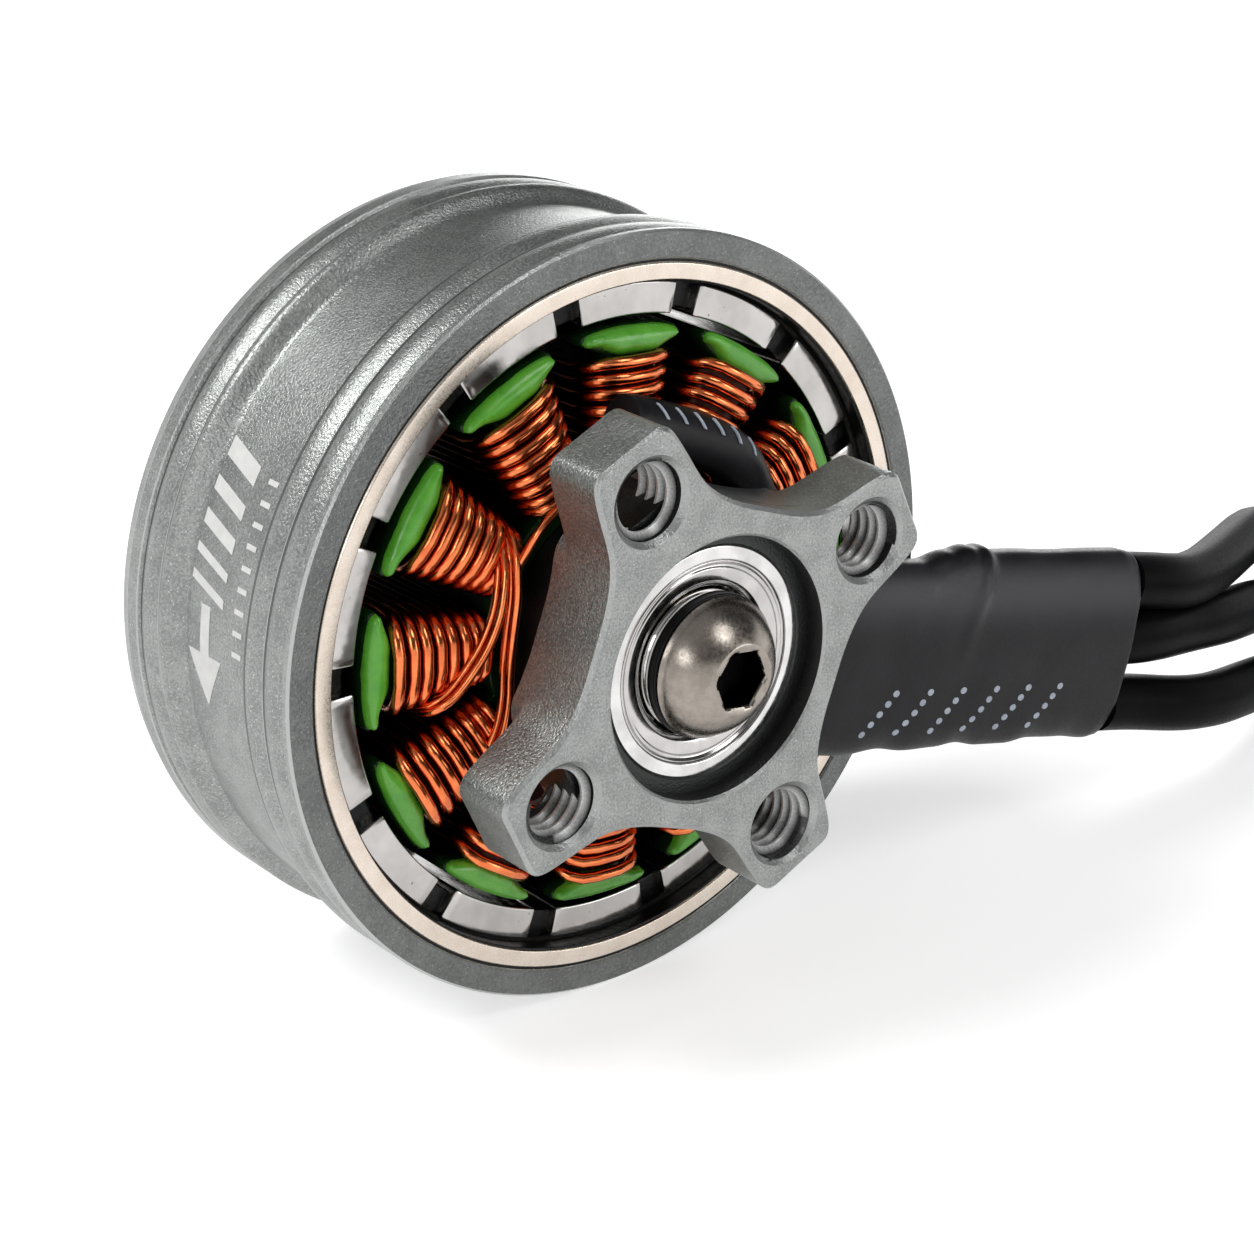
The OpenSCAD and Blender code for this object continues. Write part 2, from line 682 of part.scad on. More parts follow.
// One opening between two spokes: a ring sector with round corners
module window_outline() {
    inner = bell_hub_r + hub_band_w;
    outer = bell_r - rim_ring_w;
    half = 180 / spoke_count;
    c = window_corner_r;
    // A spoke's edge is a line parallel to the spoke's axis, so a corner's centre lies on a parallel line
    edge = spoke_w / 2;
    outer_c = [sqrt(pow(outer - c, 2) - pow(edge + c, 2)), edge + c];
    inner_c = [sqrt(pow(inner + c, 2) - pow(edge + c, 2)), edge + c];
    outer_touch = outer_c * outer / (outer - c);
    inner_touch = inner_c * inner / (inner + c);
    difference() {
        intersection() {
            difference() {
                circle(outer);
                circle(inner);
            }
            polygon([[0, 0], [2 * outer * cos(half), -2 * outer * sin(half)], [2 * outer, 0],
                [2 * outer * cos(half), 2 * outer * sin(half)]]);
        }
        for (side = [-1, 1]) rotate(side * half) mirror([0, side > 0 ? 1 : 0]) {
            translate([0, -edge]) square([2 * outer, 2 * edge]);
            difference() {
                polygon([
                    outer_c, [outer_c[0], 0], [2 * outer, 0], [2 * outer, 2 * outer_touch[1]], outer_touch
                ]);
                circle_at(outer_c, c);
            }
            difference() {
                polygon([inner_c, [inner_c[0], 0], [0, 0], inner_touch]);
                circle_at(inner_c, c);
            }
        }
    }
}
module circle_at(p, r) {
    translate(p) circle(r);
}
module bell() {
    color([0.4, 0.42, 0.42]) motor() difference() {
        bell_body();
        at_depth(bell_rear + over) for (i = [0:spoke_count - 1]) rotate(360 * i / spoke_count) {
            linear_extrude(bell_top_t + 2 * over) window_outline();
        }
        at_depth(seat_depth + over) cylinder(h = collar_depth + seat_h + over, r = collar_r + fit_gap);
        at_depth(seat_depth + over) cylinder(h = seat_depth, r = shaft_r + fit_gap);
    }
}

// Flux ring and magnets
module flux_ring() {
    color([0.9, 0.87, 0.82]) motor() washer(ring_r + ring_t, ring_r, rim_front, ring_rear);
}
module magnet(i) {
    from = magnet_phase + 360 * (i - 1) / magnet_count - magnet_arc / 2;
    color([0.82, 0.81, 0.8]) motor() at_depth(magnet_rear) rotate(from) rotate_extrude(angle = magnet_arc)
        translate([magnet_r, 0]) square([magnet_t, magnet_len]);
}

// Shaft, screw, washer and spacer
module shaft() {
    stud_end = seat_depth + stud_len;
    stud_r = stud_d / 2;
    collar_front = seat_depth - seat_h - collar_depth;
    color("lightslategray") motor() difference() {
        turned([
            [0, shaft_front], [shaft_r, shaft_front], [shaft_r, collar_front], [collar_r, collar_front],
            [collar_r, seat_depth], [stud_r, seat_depth], [stud_r, stud_end - stud_chamfer],
            [stud_r - stud_chamfer, stud_end], [0, stud_end]
        ]);
        at_depth(bearing_recess + thread_depth) cylinder(h = thread_depth, r = screw_r + fit_gap);
    }
}
module retaining_screw() {
    seat = bearing_recess - washer_t;
    r = head_d / 2;
    dome_c = (r * r - head_top_r * head_top_r - head_h * head_h) / (2 * head_h);
    color([0.35, 0.33, 0.3]) motor() difference() {
        union() {
            at_depth(seat) intersection() {
                cylinder(h = head_h, r = r);
                translate([0, 0, -dome_c]) sphere(sqrt(r * r + dome_c * dome_c));
            }
            at_depth(seat + screw_len) cylinder(h = screw_len, r = screw_r);
        }
        at_depth(seat - head_h + socket_depth) {
            cylinder(h = socket_depth + over, d = socket_af / cos(30), $fn = 6);
        }
    }
}
module retaining_washer() {
    front = bearing_recess - washer_t;
    color([0.3, 0.3, 0.3]) motor() washer(washer_r, screw_r + fit_gap, front, bearing_recess);
}
module rear_spacer() {
    color("silver") motor() washer(race_in_r, shaft_r + fit_gap, tube_end, bell_inside);
}

mounting_base();
front_bearing_outer_race();
front_bearing_shields();
front_bearing_balls();
front_bearing_cage();
front_bearing_inner_race();
rear_bearing_outer_race();
rear_bearing_shields();
rear_bearing_balls();
rear_bearing_cage();
rear_bearing_inner_race();
stator_core();
for (i = [1:tooth_count]) {
    winding(i);
}
winding_tails();
upper_sleeve();
lower_sleeve();
middle_sleeve();
shrink_tube();
for (k = [0:2]) {
    lead(k);
    lead_coil(k);
    lead_end(k);
}
coil_tie();
bell();
flux_ring();
for (i = [1:magnet_count]) {
    magnet(i);
}
shaft();
retaining_screw();
retaining_washer();
rear_spacer();
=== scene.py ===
# Looks for a brushless outrunner motor of a drone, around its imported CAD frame. Lengths in the tables are in mm.
import math
import random

import bmesh
import bpy
from mathutils import Matrix, Vector, geometry, noise


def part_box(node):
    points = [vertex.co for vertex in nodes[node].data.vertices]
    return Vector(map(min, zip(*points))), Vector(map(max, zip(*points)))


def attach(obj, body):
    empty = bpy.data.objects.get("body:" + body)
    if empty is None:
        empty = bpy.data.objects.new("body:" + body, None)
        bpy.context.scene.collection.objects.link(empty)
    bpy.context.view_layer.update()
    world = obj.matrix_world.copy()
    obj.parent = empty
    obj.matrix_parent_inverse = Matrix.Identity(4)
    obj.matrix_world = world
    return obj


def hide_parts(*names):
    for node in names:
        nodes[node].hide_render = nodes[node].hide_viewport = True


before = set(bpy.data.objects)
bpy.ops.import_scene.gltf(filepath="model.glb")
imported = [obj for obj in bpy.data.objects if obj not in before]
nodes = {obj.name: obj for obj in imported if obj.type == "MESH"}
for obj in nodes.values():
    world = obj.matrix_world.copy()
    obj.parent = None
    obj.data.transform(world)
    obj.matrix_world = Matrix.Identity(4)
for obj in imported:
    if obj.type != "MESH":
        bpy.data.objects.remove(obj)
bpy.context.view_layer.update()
mm = 0.001
baseTurn = math.radians(20.7)  # how far the mounting base is turned about the shaft
print("frame loaded:", len(nodes), "nodes")


# A point given in the base's own plane and by its depth behind the mounting face
def inMotor(u, v, depth):
    c, s = math.cos(baseTurn), math.sin(baseTurn)
    return Vector((u * c + v * s, depth, v * c - u * s)) * mm


def aroundShaft(radius, degrees, depth):
    a = math.radians(degrees)
    return inMotor(radius * math.cos(a), radius * math.sin(a), depth)


def mix(a, b, share):
    return a + (b - a) * share


def clamp(share):
    return min(1.0, max(0.0, share))


def turnPoint(x, y, degrees):
    c, s = math.cos(math.radians(degrees)), math.sin(math.radians(degrees))
    return (x * c - y * s, x * s + y * c)


def rectangle(left, right, low, high):
    return [(left, low), (right, low), (right, high), (left, high)]


# A power of the size with the value's own sign, for sections between round and square
def signedPower(value, power):
    return math.copysign(abs(value) ** power, value)


def addObject(name, data):
    made = bpy.data.objects.new(name, data)
    bpy.context.scene.collection.objects.link(made)
    return made


# The camera stands at the left of the mounting face, a little above it
cameraSet = {"place": (-64.0, -73.57, 42.67), "right": (0.7772, -0.6293, 0.0), "up": (0.2438, 0.3011, 0.9219),
             "lens": 83.64, "sensor": 36, "nearest": 0.001}
right = Vector(cameraSet["right"]).normalized()
up = Vector(cameraSet["up"])
up = (up - right * up.dot(right)).normalized()
cameraData = bpy.data.cameras.new("camera")
cameraData.lens = cameraSet["lens"]
cameraData.sensor_width = cameraSet["sensor"]
cameraData.clip_start = cameraSet["nearest"]
camera = addObject("camera", cameraData)
camera.matrix_world = Matrix((*zip(right, up, right.cross(up), [c * mm for c in cameraSet["place"]]), (0, 0, 0, 1)))
bpy.context.scene.camera = camera
print("camera placed")


# Nodes: an input takes a value, or a link from another node's output
def fill(tree, node, inputs):
    for socket, value in inputs.items():
        if isinstance(value, bpy.types.NodeSocket):
            tree.links.new(value, node.inputs[socket])
        else:
            node.inputs[socket].default_value = value


def addNode(tree, kind, inputs={}, **settings):
    made = tree.nodes.new(kind)
    for name, value in settings.items():
        setattr(made, name, value)
    fill(tree, made, inputs)
    return made


def addMath(tree, operation, *values):
    return addNode(tree, "ShaderNodeMath", dict(enumerate(values)), operation=operation).outputs[0]


def objectPlace(tree):
    return addNode(tree, "ShaderNodeTexCoord").outputs["Object"]


def addNoise(tree, size, detail=3.0):
    return addNode(tree, "ShaderNodeTexNoise", {"Scale": 1 / (size * mm), "Detail": detail, "Roughness": 0.55,
                                                "Vector": objectPlace(tree)}).outputs["Fac"]


def mapValue(tree, source, low, high, fromLow=0.35, fromHigh=0.65):
    return addNode(tree, "ShaderNodeMapRange", {"Value": source, "From Min": fromLow, "From Max": fromHigh,
                                                "To Min": low, "To Max": high}).outputs["Result"]


def mixColor(tree, factor, first, second):
    first, second = [(*color, 1) if isinstance(color, tuple) else color for color in (first, second)]
    return addNode(tree, "ShaderNodeMix", {"Factor": factor, 6: first, 7: second}, data_type="RGBA").outputs[2]


# Materials: two close colours in patches, a roughness range, and a grain for the bump. More can hold colours for
# painted highlights and painted shade on marked faces, painted shade in marked recesses, specks (colour, size, lowest
# noise) and a painted shade that darkens with depth (first and last depth, colour)
def makeFinish(name, dark, light, metallic, roughness, patch, grain, bump, more={}):
    material = bpy.data.materials.new(name)
    material.use_nodes = True
    tree = material.node_tree
    patches, grains = addNoise(tree, patch), addNoise(tree, grain, 2.0)
    if "grainy" in more:
        share = mapValue(tree, addMath(tree, "MULTIPLY_ADD", grains, 1.6, patches), 0, 1, 1.1, 1.5)
    else:
        share = mapValue(tree, patches, 0, 1)
    color = mixColor(tree, share, dark, light)
    if "specks" in more:
        speck, size, lowest = more["specks"]
        share = mapValue(tree, addNoise(tree, size, 1.0), 0, 1, lowest, lowest + 0.06)
        color = mixColor(tree, share, color, speck)
    # Painted light on marked faces: highlights on edges, crests and a band of the shrink tube; shade in the screw's
    # socket, recesses and grooves
    for mark in ("edge", "paintedShade"):
        if mark in more:
            marked = addNode(tree, "ShaderNodeAttribute", attribute_name=mark).outputs["Fac"]
            color = mixColor(tree, marked, color, more[mark])
    # Painted shade: the colour darkens the deeper a point lies behind the front
    if "depthShade" in more:
        start, end, shadeColor = more["depthShade"]
        depth = addNode(tree, "ShaderNodeSeparateXYZ", {0: objectPlace(tree)}).outputs["Y"]
        color = mixColor(tree, mapValue(tree, depth, 0, 1, start * mm, end * mm), color, shadeColor)
    bumps = addNode(tree, "ShaderNodeBump", {"Strength": 1.0, "Distance": bump * mm, "Height": grains})
    fill(tree, tree.nodes["Principled BSDF"], {
        "Base Color": color, "Roughness": mapValue(tree, grains, *roughness), "Metallic": metallic,
        "Specular IOR Level": more.get("specular", 0.5), "Coat Weight": more.get("coat", 0.0),
        "Coat Roughness": more.get("coatRoughness", 0.05), "Normal": bumps.outputs["Normal"]})
    return material


# The record's slot; name, dark and light colour, metallic, roughness range, sizes of patch and grain, bump, and more
finishTable = {
    # anodised: the near-black colour is painted shade in the seat, the holes, the bell's grooves and on its front
    # face
    "anodised": ("anodised_aluminium", "greyAnodised", (0.235, 0.246, 0.239), (0.35, 0.364, 0.354), 0.85,
                 (0.3, 0.42), 1.5, 0.1, 0.03,
                 # the edge colour is a painted highlight on chamfers and corners; the light specks are painted glints
                 # of the blasted grain
                 {"edge": (0.46, 0.47, 0.465), "specks": ((0.62, 0.63, 0.62), 0.08, 0.67),
                  "paintedShade": (0.045, 0.047, 0.046), "grainy": True}),
    "bearing": ("bearing_steel", "bearingSteel", (0.56, 0.55, 0.545), (0.74, 0.73, 0.725), 1.0,
                (0.08, 0.16), 1.2, 0.3, 0.001),
    "shield": ("bearing_steel", "shieldSteel", (0.46, 0.445, 0.44), (0.6, 0.58, 0.57), 1.0,
               (0.12, 0.22), 1.2, 0.3, 0.002),
    "brass": ("cage_brass", "cageBrass", (0.6, 0.43, 0.18), (0.7, 0.52, 0.24), 1.0, (0.2, 0.35), 0.6, 0.1, 0.004),
    # epoxy and copper darken deeper behind the front as painted shade
    "epoxy": ("green_epoxy", "greenEpoxy", (0.09, 0.42, 0.028), (0.14, 0.52, 0.04), 0.0, (0.25, 0.38), 0.8, 0.5, 0.02,
              {"coat": 0.25, "coatRoughness": 0.15, "depthShade": (6.5, 8.0, (0.004, 0.012, 0.003))}),
    "copper": ("enamelled_copper", "enamelledCopper", (0.72, 0.155, 0.045), (0.88, 0.24, 0.08), 1.0,
               (0.15, 0.23), 0.9, 0.3, 0.008,
               {"coat": 0.3, "coatRoughness": 0.08, "depthShade": (5.9, 8.2, (0.02, 0.003, 0.001))}),
    # sleeve: the paler edge colour is a painted highlight in a band over the upper lead
    "sleeve": ("shrink_black", "shrinkSleeve", (0.005, 0.0046, 0.0066), (0.009, 0.0085, 0.011), 0.0,
               (0.34, 0.44), 1.5, 0.16, 0.006, {"specular": 0.2, "edge": (0.064, 0.061, 0.067)}),
    "silicone": ("lead_silicone", "siliconeInsulation", (0.0025, 0.0025, 0.003), (0.0045, 0.0045, 0.0055), 0.0,
                 (0.36, 0.46), 2.0, 0.12, 0.004, {"specular": 0.03}),
    "tinned": ("tinned_copper", "tinnedStrands", (0.6, 0.6, 0.58), (0.75, 0.74, 0.72), 1.0,
               (0.25, 0.4), 0.4, 0.1, 0.01),
    "nylon": ("tie_nylon", "tieNylon", (0.02, 0.02, 0.021), (0.035, 0.035, 0.036), 0.0, (0.4, 0.55), 0.8, 0.1, 0.004),
    "ring": ("ring_nickel", "ringNickel", (0.68, 0.59, 0.505), (0.76, 0.675, 0.59), 1.0,
             (0.24, 0.36), 1.0, 0.08, 0.003),
    "magnet": ("magnet_nickel", "magnetNickel", (0.45, 0.432, 0.42), (0.55, 0.53, 0.515), 1.0,
               (0.12, 0.22), 1.6, 0.7, 0.006, {"specks": ((0.2, 0.18, 0.17), 0.25, 0.74)}),
    # glue: black glue between the magnets, also a black liner on the ring's inner wall as painted shade
    "glue": ("magnet_nickel", "blackGlueAndShade", (0.002, 0.002, 0.002), (0.005, 0.005, 0.005), 0.0,
             (0.3, 0.45), 0.5, 0.2, 0.03, {"specular": 0.2}),
    # stack: its green epoxy is painted near black as shade, and darker still deeper in
    "core": ("green_epoxy", "shadedEpoxy", (0.004, 0.022, 0.003), (0.008, 0.038, 0.006), 0.0,
             (0.25, 0.4), 0.8, 0.5, 0.02, {"specular": 0.25, "depthShade": (6.4, 7.2, (0.001, 0.002, 0.001))}),
    # lower turns: copper painted near black as the shade between the outer turns
    "lowerTurns": ("enamelled_copper", "lowerTurns", (0.03, 0.006, 0.002), (0.05, 0.011, 0.004), 0.6,
                   (0.3, 0.5), 0.5, 0.2, 0.02, {"specular": 0.3, "depthShade": (5.9, 7.5, (0.002, 0.001, 0.001))}),
    "steel": ("shaft_steel", "groundSteel", (0.42, 0.42, 0.43), (0.52, 0.52, 0.53), 1.0,
              (0.2, 0.32), 0.8, 0.12, 0.004),
    # thread: the dark colour is painted shade in the groove, and the edge colour is a painted highlight on the crest
    "thread": ("anodised_aluminium", "cutThread", (0.035, 0.036, 0.035), (0.055, 0.056, 0.055), 0.2,
               (0.22, 0.32), 0.5, 0.12, 0.003, {"edge": (0.72, 0.73, 0.72)}),
    # screw: the near-black edge colour is painted shade in the socket
    "screw": ("screw_black_nickel", "darkNickel", (0.27, 0.24, 0.21), (0.36, 0.32, 0.285), 1.0,
              (0.22, 0.32), 0.6, 0.14, 0.004, {"edge": (0.002, 0.002, 0.002)}),
    "washer": ("screw_black_nickel", "blackOxide", (0.002, 0.002, 0.002), (0.004, 0.004, 0.004), 0.0,
               (0.3, 0.4), 0.5, 0.14, 0.004, {"specular": 0.2}),
    "print": ("anodised_aluminium", "whitePrint", (0.72, 0.72, 0.7), (0.8, 0.8, 0.78), 0.0,
              (0.5, 0.6), 0.5, 0.1, 0.002),
    "dots": ("shrink_black", "greyDots", (0.42, 0.47, 0.56), (0.55, 0.6, 0.68), 0.0, (0.5, 0.6), 0.5, 0.1, 0.002),
}
finishes = {key: makeFinish(*row[1:]) for key, row in finishTable.items()}
print("materials made:", len(finishes))


# A piece of the object: its mesh, finish, body, and the CAD nodes that it stands for
def addPiece(name, mesh, finish, body, *stands):
    piece = addObject(name, mesh)
    mesh.materials.clear()
    mesh.materials.append(finishes[finish])
    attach(piece, body)
    if stands:
        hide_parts(*stands)
    return piece


def finishMesh(name, bm, degrees):
    mesh = bpy.data.meshes.new(name)
    bm.to_mesh(mesh)
    bm.free()
    mesh.shade_smooth()
    mesh.set_sharp_from_angle(angle=math.radians(degrees))
    return mesh


def closedMesh(name, bm, degrees=35):
    bmesh.ops.remove_doubles(bm, verts=bm.verts, dist=1e-7)
    bmesh.ops.recalc_face_normals(bm, faces=bm.faces)
    return finishMesh(name, bm, degrees)


def markMesh(mesh, mark, domain, values):
    mesh.attributes.new(mark, "FLOAT", domain).data.foreach_set("value", values)


def addSkin(bm, rings):
    for first, second in zip(rings, rings[1:]):
        for i in range(len(first)):
            j = (i + 1) % len(first)
            bm.faces.new((first[i], first[j], second[j], second[i]))


# Joins rings of points to a skin; the ends are capped, or the last ring joins the first
def addLoft(bm, rings, looped=False):
    made = [[bm.verts.new(p) for p in ring] for ring in rings]
    addSkin(bm, made + made[:1] if looped else made)
    if not looped:
        bm.faces.new(list(reversed(made[0])))
        bm.faces.new(made[-1])


def loftMesh(name, rings, looped=False, degrees=35):
    bm = bmesh.new()
    addLoft(bm, rings, looped)
    return closedMesh(name, bm, degrees)


# Rounds the corners of a closed outline of (x, y) points
def roundCorners(outline, radius, steps=3):
    rounded = []
    for i, p in enumerate(outline):
        before, corner, after = Vector(outline[i - 1]), Vector(p), Vector(outline[(i + 1) % len(outline)])
        toBefore, toAfter = before - corner, after - corner
        cut = min(radius, 0.45 * toBefore.length, 0.45 * toAfter.length)
        start, end = corner + toBefore.normalized() * cut, corner + toAfter.normalized() * cut
        for k in range(steps + 1):
            t = k / steps
            rounded.append(start * (1 - t) ** 2 + corner * 2 * t * (1 - t) + end * t ** 2)
    return rounded


# Rings of points of a turned shape, from the closed outline of its wall as (radius, depth) points
def turnedRings(wall, segments):
    return [[aroundShaft(r, 360 * i / segments, depth) for r, depth in wall] for i in range(segments)]


def addTurned(name, outline, edge, finish, body, *stands, segments=160):
    mesh = loftMesh(name, turnedRings(roundCorners(outline, edge), segments), looped=True)
    return addPiece(name, mesh, finish, body, *stands)


# A Geometry Nodes tree with named inputs, and the end of one: plain geometry with its finish
def newTree(name, **inputs):
    tree = bpy.data.node_groups.new(name, "GeometryNodeTree")
    for label, kind in inputs.items():
        tree.interface.new_socket(label, in_out="INPUT", socket_type="NodeSocket" + kind)
    tree.interface.new_socket("Result", in_out="OUTPUT", socket_type="NodeSocketGeometry")
    return tree, addNode(tree, "NodeGroupInput").outputs


def endTree(tree, result, finish):
    painted = addNode(tree, "GeometryNodeSetMaterial", {"Geometry": result, "Material": finish}).outputs[0]
    addNode(tree, "NodeGroupOutput", {"Result": painted})
    return tree


# A tube of given diameter along the piece's own line of edges
def makeTubeTree():
    tree, given = newTree("tubeAlongPath", Path="Geometry", Diameter="Float", Sides="Int", Finish="Material")
    swell = addNode(tree, "GeometryNodeInputNamedAttribute", {"Name": "swell"}, data_type="FLOAT")
    swell = swell.outputs["Attribute"]
    path = addNode(tree, "GeometryNodeMeshToCurve", {"Mesh": given["Path"]}).outputs["Curve"]
    path = addNode(tree, "GeometryNodeSetCurveRadius", {"Curve": path, "Radius": swell}).outputs["Curve"]
    circle = addNode(tree, "GeometryNodeCurvePrimitiveCircle", {
        "Radius": addMath(tree, "DIVIDE", given["Diameter"], 2), "Resolution": given["Sides"]}).outputs["Curve"]
    sweep = addNode(tree, "GeometryNodeCurveToMesh", {"Curve": path, "Profile Curve": circle, "Fill Caps": True})
    if "Scale" in sweep.inputs:
        fill(tree, sweep, {"Scale": swell})
    smooth = addNode(tree, "GeometryNodeSetShadeSmooth", {"Geometry": sweep.outputs["Mesh"]}).outputs[0]
    whole = addNode(tree, "GeometryNodeRealizeInstances", {"Geometry": smooth}).outputs[0]
    return endTree(tree, whole, given["Finish"])


# Copies of the piece's own mesh around the shaft, with an uneven skin where asked
def makeRingTree():
    tree, given = newTree("copiesAroundShaft", Single="Geometry", Count="Int", Unevenness="Float", LumpSize="Float",
                          Finish="Material")
    single = addNode(tree, "GeometryNodeGeometryToInstance", {0: given["Single"]}).outputs[0]
    copies = addNode(tree, "GeometryNodeDuplicateElements", {"Geometry": single, "Amount": given["Count"]},
                     domain="INSTANCE").outputs
    angle = addMath(tree, "MULTIPLY", copies["Duplicate Index"], addMath(tree, "DIVIDE", 2 * math.pi, given["Count"]))
    around = addNode(tree, "GeometryNodeRotateInstances", {
        "Instances": copies["Geometry"], "Rotation": addNode(tree, "ShaderNodeCombineXYZ", {"Y": angle}).outputs[0],
        "Local Space": False}).outputs[0]
    whole = addNode(tree, "GeometryNodeRealizeInstances", {"Geometry": around}).outputs[0]
    lumps = addNode(tree, "ShaderNodeTexNoise", {
        "Scale": addMath(tree, "DIVIDE", 1, given["LumpSize"]),
        "Vector": addNode(tree, "GeometryNodeInputPosition").outputs[0]}).outputs["Fac"]
    amount = addMath(tree, "MULTIPLY", addMath(tree, "SUBTRACT", lumps, 0.5), given["Unevenness"])
    push = addNode(tree, "ShaderNodeVectorMath", {0: addNode(tree, "GeometryNodeInputNormal").outputs[0],
                                                  "Scale": amount}, operation="SCALE").outputs[0]
    uneven = addNode(tree, "GeometryNodeSetPosition", {"Geometry": whole, "Offset": push}).outputs[0]
    return endTree(tree, uneven, given["Finish"])


tubeTree, ringTree = makeTubeTree(), makeRingTree()


# The plain mesh of an object after its modifiers, without the object
def takeMesh(holder):
    bpy.context.view_layer.update()
    made = bpy.data.meshes.new_from_object(holder.evaluated_get(bpy.context.evaluated_depsgraph_get()))
    holder.modifiers.clear()
    bpy.data.objects.remove(holder)
    return made


def runTree(name, tree, mesh, settings):
    holder = addObject(name + "Holder", mesh)
    modifier = holder.modifiers.new(name, "NODES")
    modifier.node_group = tree
    for item in tree.interface.items_tree:
        if item.in_out == "INPUT" and item.name in settings:
            modifier[item.identifier] = settings[item.name]
    made = takeMesh(holder)
    made.name = name
    return made


# A piece of tubes along one or more lines of points; each line may swell or thin along its length
def addTubes(name, lines, diameter, sides, finish, body, *stands, swell=None):
    mesh = bpy.data.meshes.new(name + "Line")
    points, edges = [], []
    for line in lines:
        edges += [(len(points) + i, len(points) + i + 1) for i in range(len(line) - 1)]
        points += [tuple(p) for p in line]
    mesh.from_pydata(points, edges, [])
    markMesh(mesh, "swell", "POINT", swell or [1.0] * len(points))
    tubes = runTree(name, tubeTree, mesh, {"Diameter": diameter * mm, "Sides": sides, "Finish": finishes[finish]})
    return addPiece(name, tubes, finish, body, *stands)


def addCopies(name, single, count, finish, body, *stands, unevenness=0.0, lumpSize=1.0):
    ring = runTree(name, ringTree, single, {"Count": count, "Unevenness": unevenness * mm, "LumpSize": lumpSize * mm,
                                            "Finish": finishes[finish]})
    return addPiece(name, ring, finish, body, *stands)


# A smooth line through points, at about equal steps
def smoothLine(points, step):
    ends = [2 * points[0] - points[1], *points, 2 * points[-1] - points[-2]]
    line = []
    for a, b, c, d in zip(ends, ends[1:], ends[2:], ends[3:]):
        count = max(2, round((c - b).length / step))
        for i in range(count):
            t = i / count
            line.append(0.5 * (2 * b + (c - a) * t + (2 * a - 5 * b + 4 * c - d) * t ** 2
                               + (3 * b - a - 3 * c + d) * t ** 3))
    return line + [points[-1]]


def smoothRoute(route, step):
    return smoothLine([inMotor(*p) for p in route], step * mm)


# Draws each point towards its neighbours, round after round, and keeps the ends
def evenLine(line, rounds):
    for r in range(rounds):
        line = line[:2] + [(a + 2 * b + c) / 4 for a, b, c in zip(line[1:], line[2:], line[3:])] + line[-1:]
    return line


# Leads: out of the shrink tube, down to the floor and into a flat coil outside the view
leads = {"diameter": 2.5, "length": 105.0, "sides": 20, "evened": 14, "strands": 7, "strandDiameter": 0.42,
         "strandSpread": 0.4, "strandTwist": 0.5, "endLength": 4.0, "endInside": 0.3, "step": 0.5,
         # the shrink tube's start and length, its direction in degrees, and where the leads leave it across
         "exit": (8.2, 0.2, 4.0, 18.6), "direction": 7, "exits": (2.8, 0.25, -2.8),
         "coilStep": 2.6, "coilCentre": (60, -6), "coilHeading": 20, "coilRadius": 19.5, "floorGap": 0.32,
         "routes": [
             [(30.38, 4.29, -5.6), (33.49, 5.46, -6.3), (38.16, 7.79, -7.1), (43.3, 10.4, -8),
              (45.34, 11.06, -9.1), (47.06, 11.07, -11), (48.83, 11.02, -12.8)],
             [(29.87, 4.54, -7.85), (33.57, 5.27, -8.6), (36.37, 6.05, -9.3), (39.81, 7.26, -10.05),
              (42.9, 7.96, -10.97), (45.82, 8.12, -12.13), (48.75, 8.29, -13.16)],
             [(30.01, 3.81, -11.2), (33.25, 4.06, -12), (37.61, 5.15, -12.8), (41.49, 5.66, -13.34),
              (45.22, 5.65, -13.57), (48.93, 5.74, -13.61)]]}
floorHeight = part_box("bell")[0][2]
leadAlong = inMotor(*turnPoint(1, 0, leads["direction"]), 0) / mm
leadAcross = inMotor(*turnPoint(0, 1, leads["direction"]), 0) / mm
shrinkStart, tubeLength = inMotor(*leads["exit"][:3]), leads["exit"][3]


def coilRadiusAt(k, turns):
    return leads["coilRadius"] - k * leads["coilStep"] - 3 * leads["coilStep"] * turns


def coilPoint(k, turns):
    x, y = turnPoint(coilRadiusAt(k, turns), 0, 90 + leads["coilHeading"] - 360 * turns)
    height = floorHeight / mm + leads["floorGap"] + leads["diameter"] / 2
    return Vector((leads["coilCentre"][0] + x, leads["coilCentre"][1] + y, height)) * mm


def leadLine(k):
    towardsCoil = Vector((*turnPoint(1, 0, leads["coilHeading"]), 0))
    exitPoint = shrinkStart + leadAlong * tubeLength * mm + leadAcross * leads["exits"][k] * mm
    knots = [exitPoint, exitPoint + leadAlong * leads["diameter"] * mm]
    knots += [Vector(p) * mm for p in leads["routes"][k]]
    knots += [coilPoint(k, 0) - towardsCoil * leads["diameter"] * mm, coilPoint(k, 0)]
    line = evenLine(smoothLine(knots, leads["step"] * mm), leads["evened"])
    turns, turnStep = 0.0, 0.01
    left = leads["length"] * mm - sum((b - a).length for a, b in zip(line, line[1:]))
    while True:
        turns += turnStep
        point = coilPoint(k, turns)
        part = (point - line[-1]).length
        if part > left:
            return line + [line[-1] + (point - line[-1]) * left / part]
        line.append(point)
        left -= part


# The stripped and tinned end of a lead: one strand in the middle and the others twisted around it
def strandLines(tip, along):
    side = along.cross(Vector((0, 0, 1))).normalized()
    over = side.cross(along)
    lines = []
    for s in range(leads["strands"]):
        spread = leads["strandSpread"] if s else 0.0
        lines.append([])
        for share in (i / 14 for i in range(15)):
            a = 2 * math.pi * (s / (leads["strands"] - 1) + leads["strandTwist"] * share)
            offset = side * math.cos(a) + over * math.sin(a)
            lines[-1].append(tip + along * share * leads["endLength"] * mm + offset * spread * mm)
    return lines


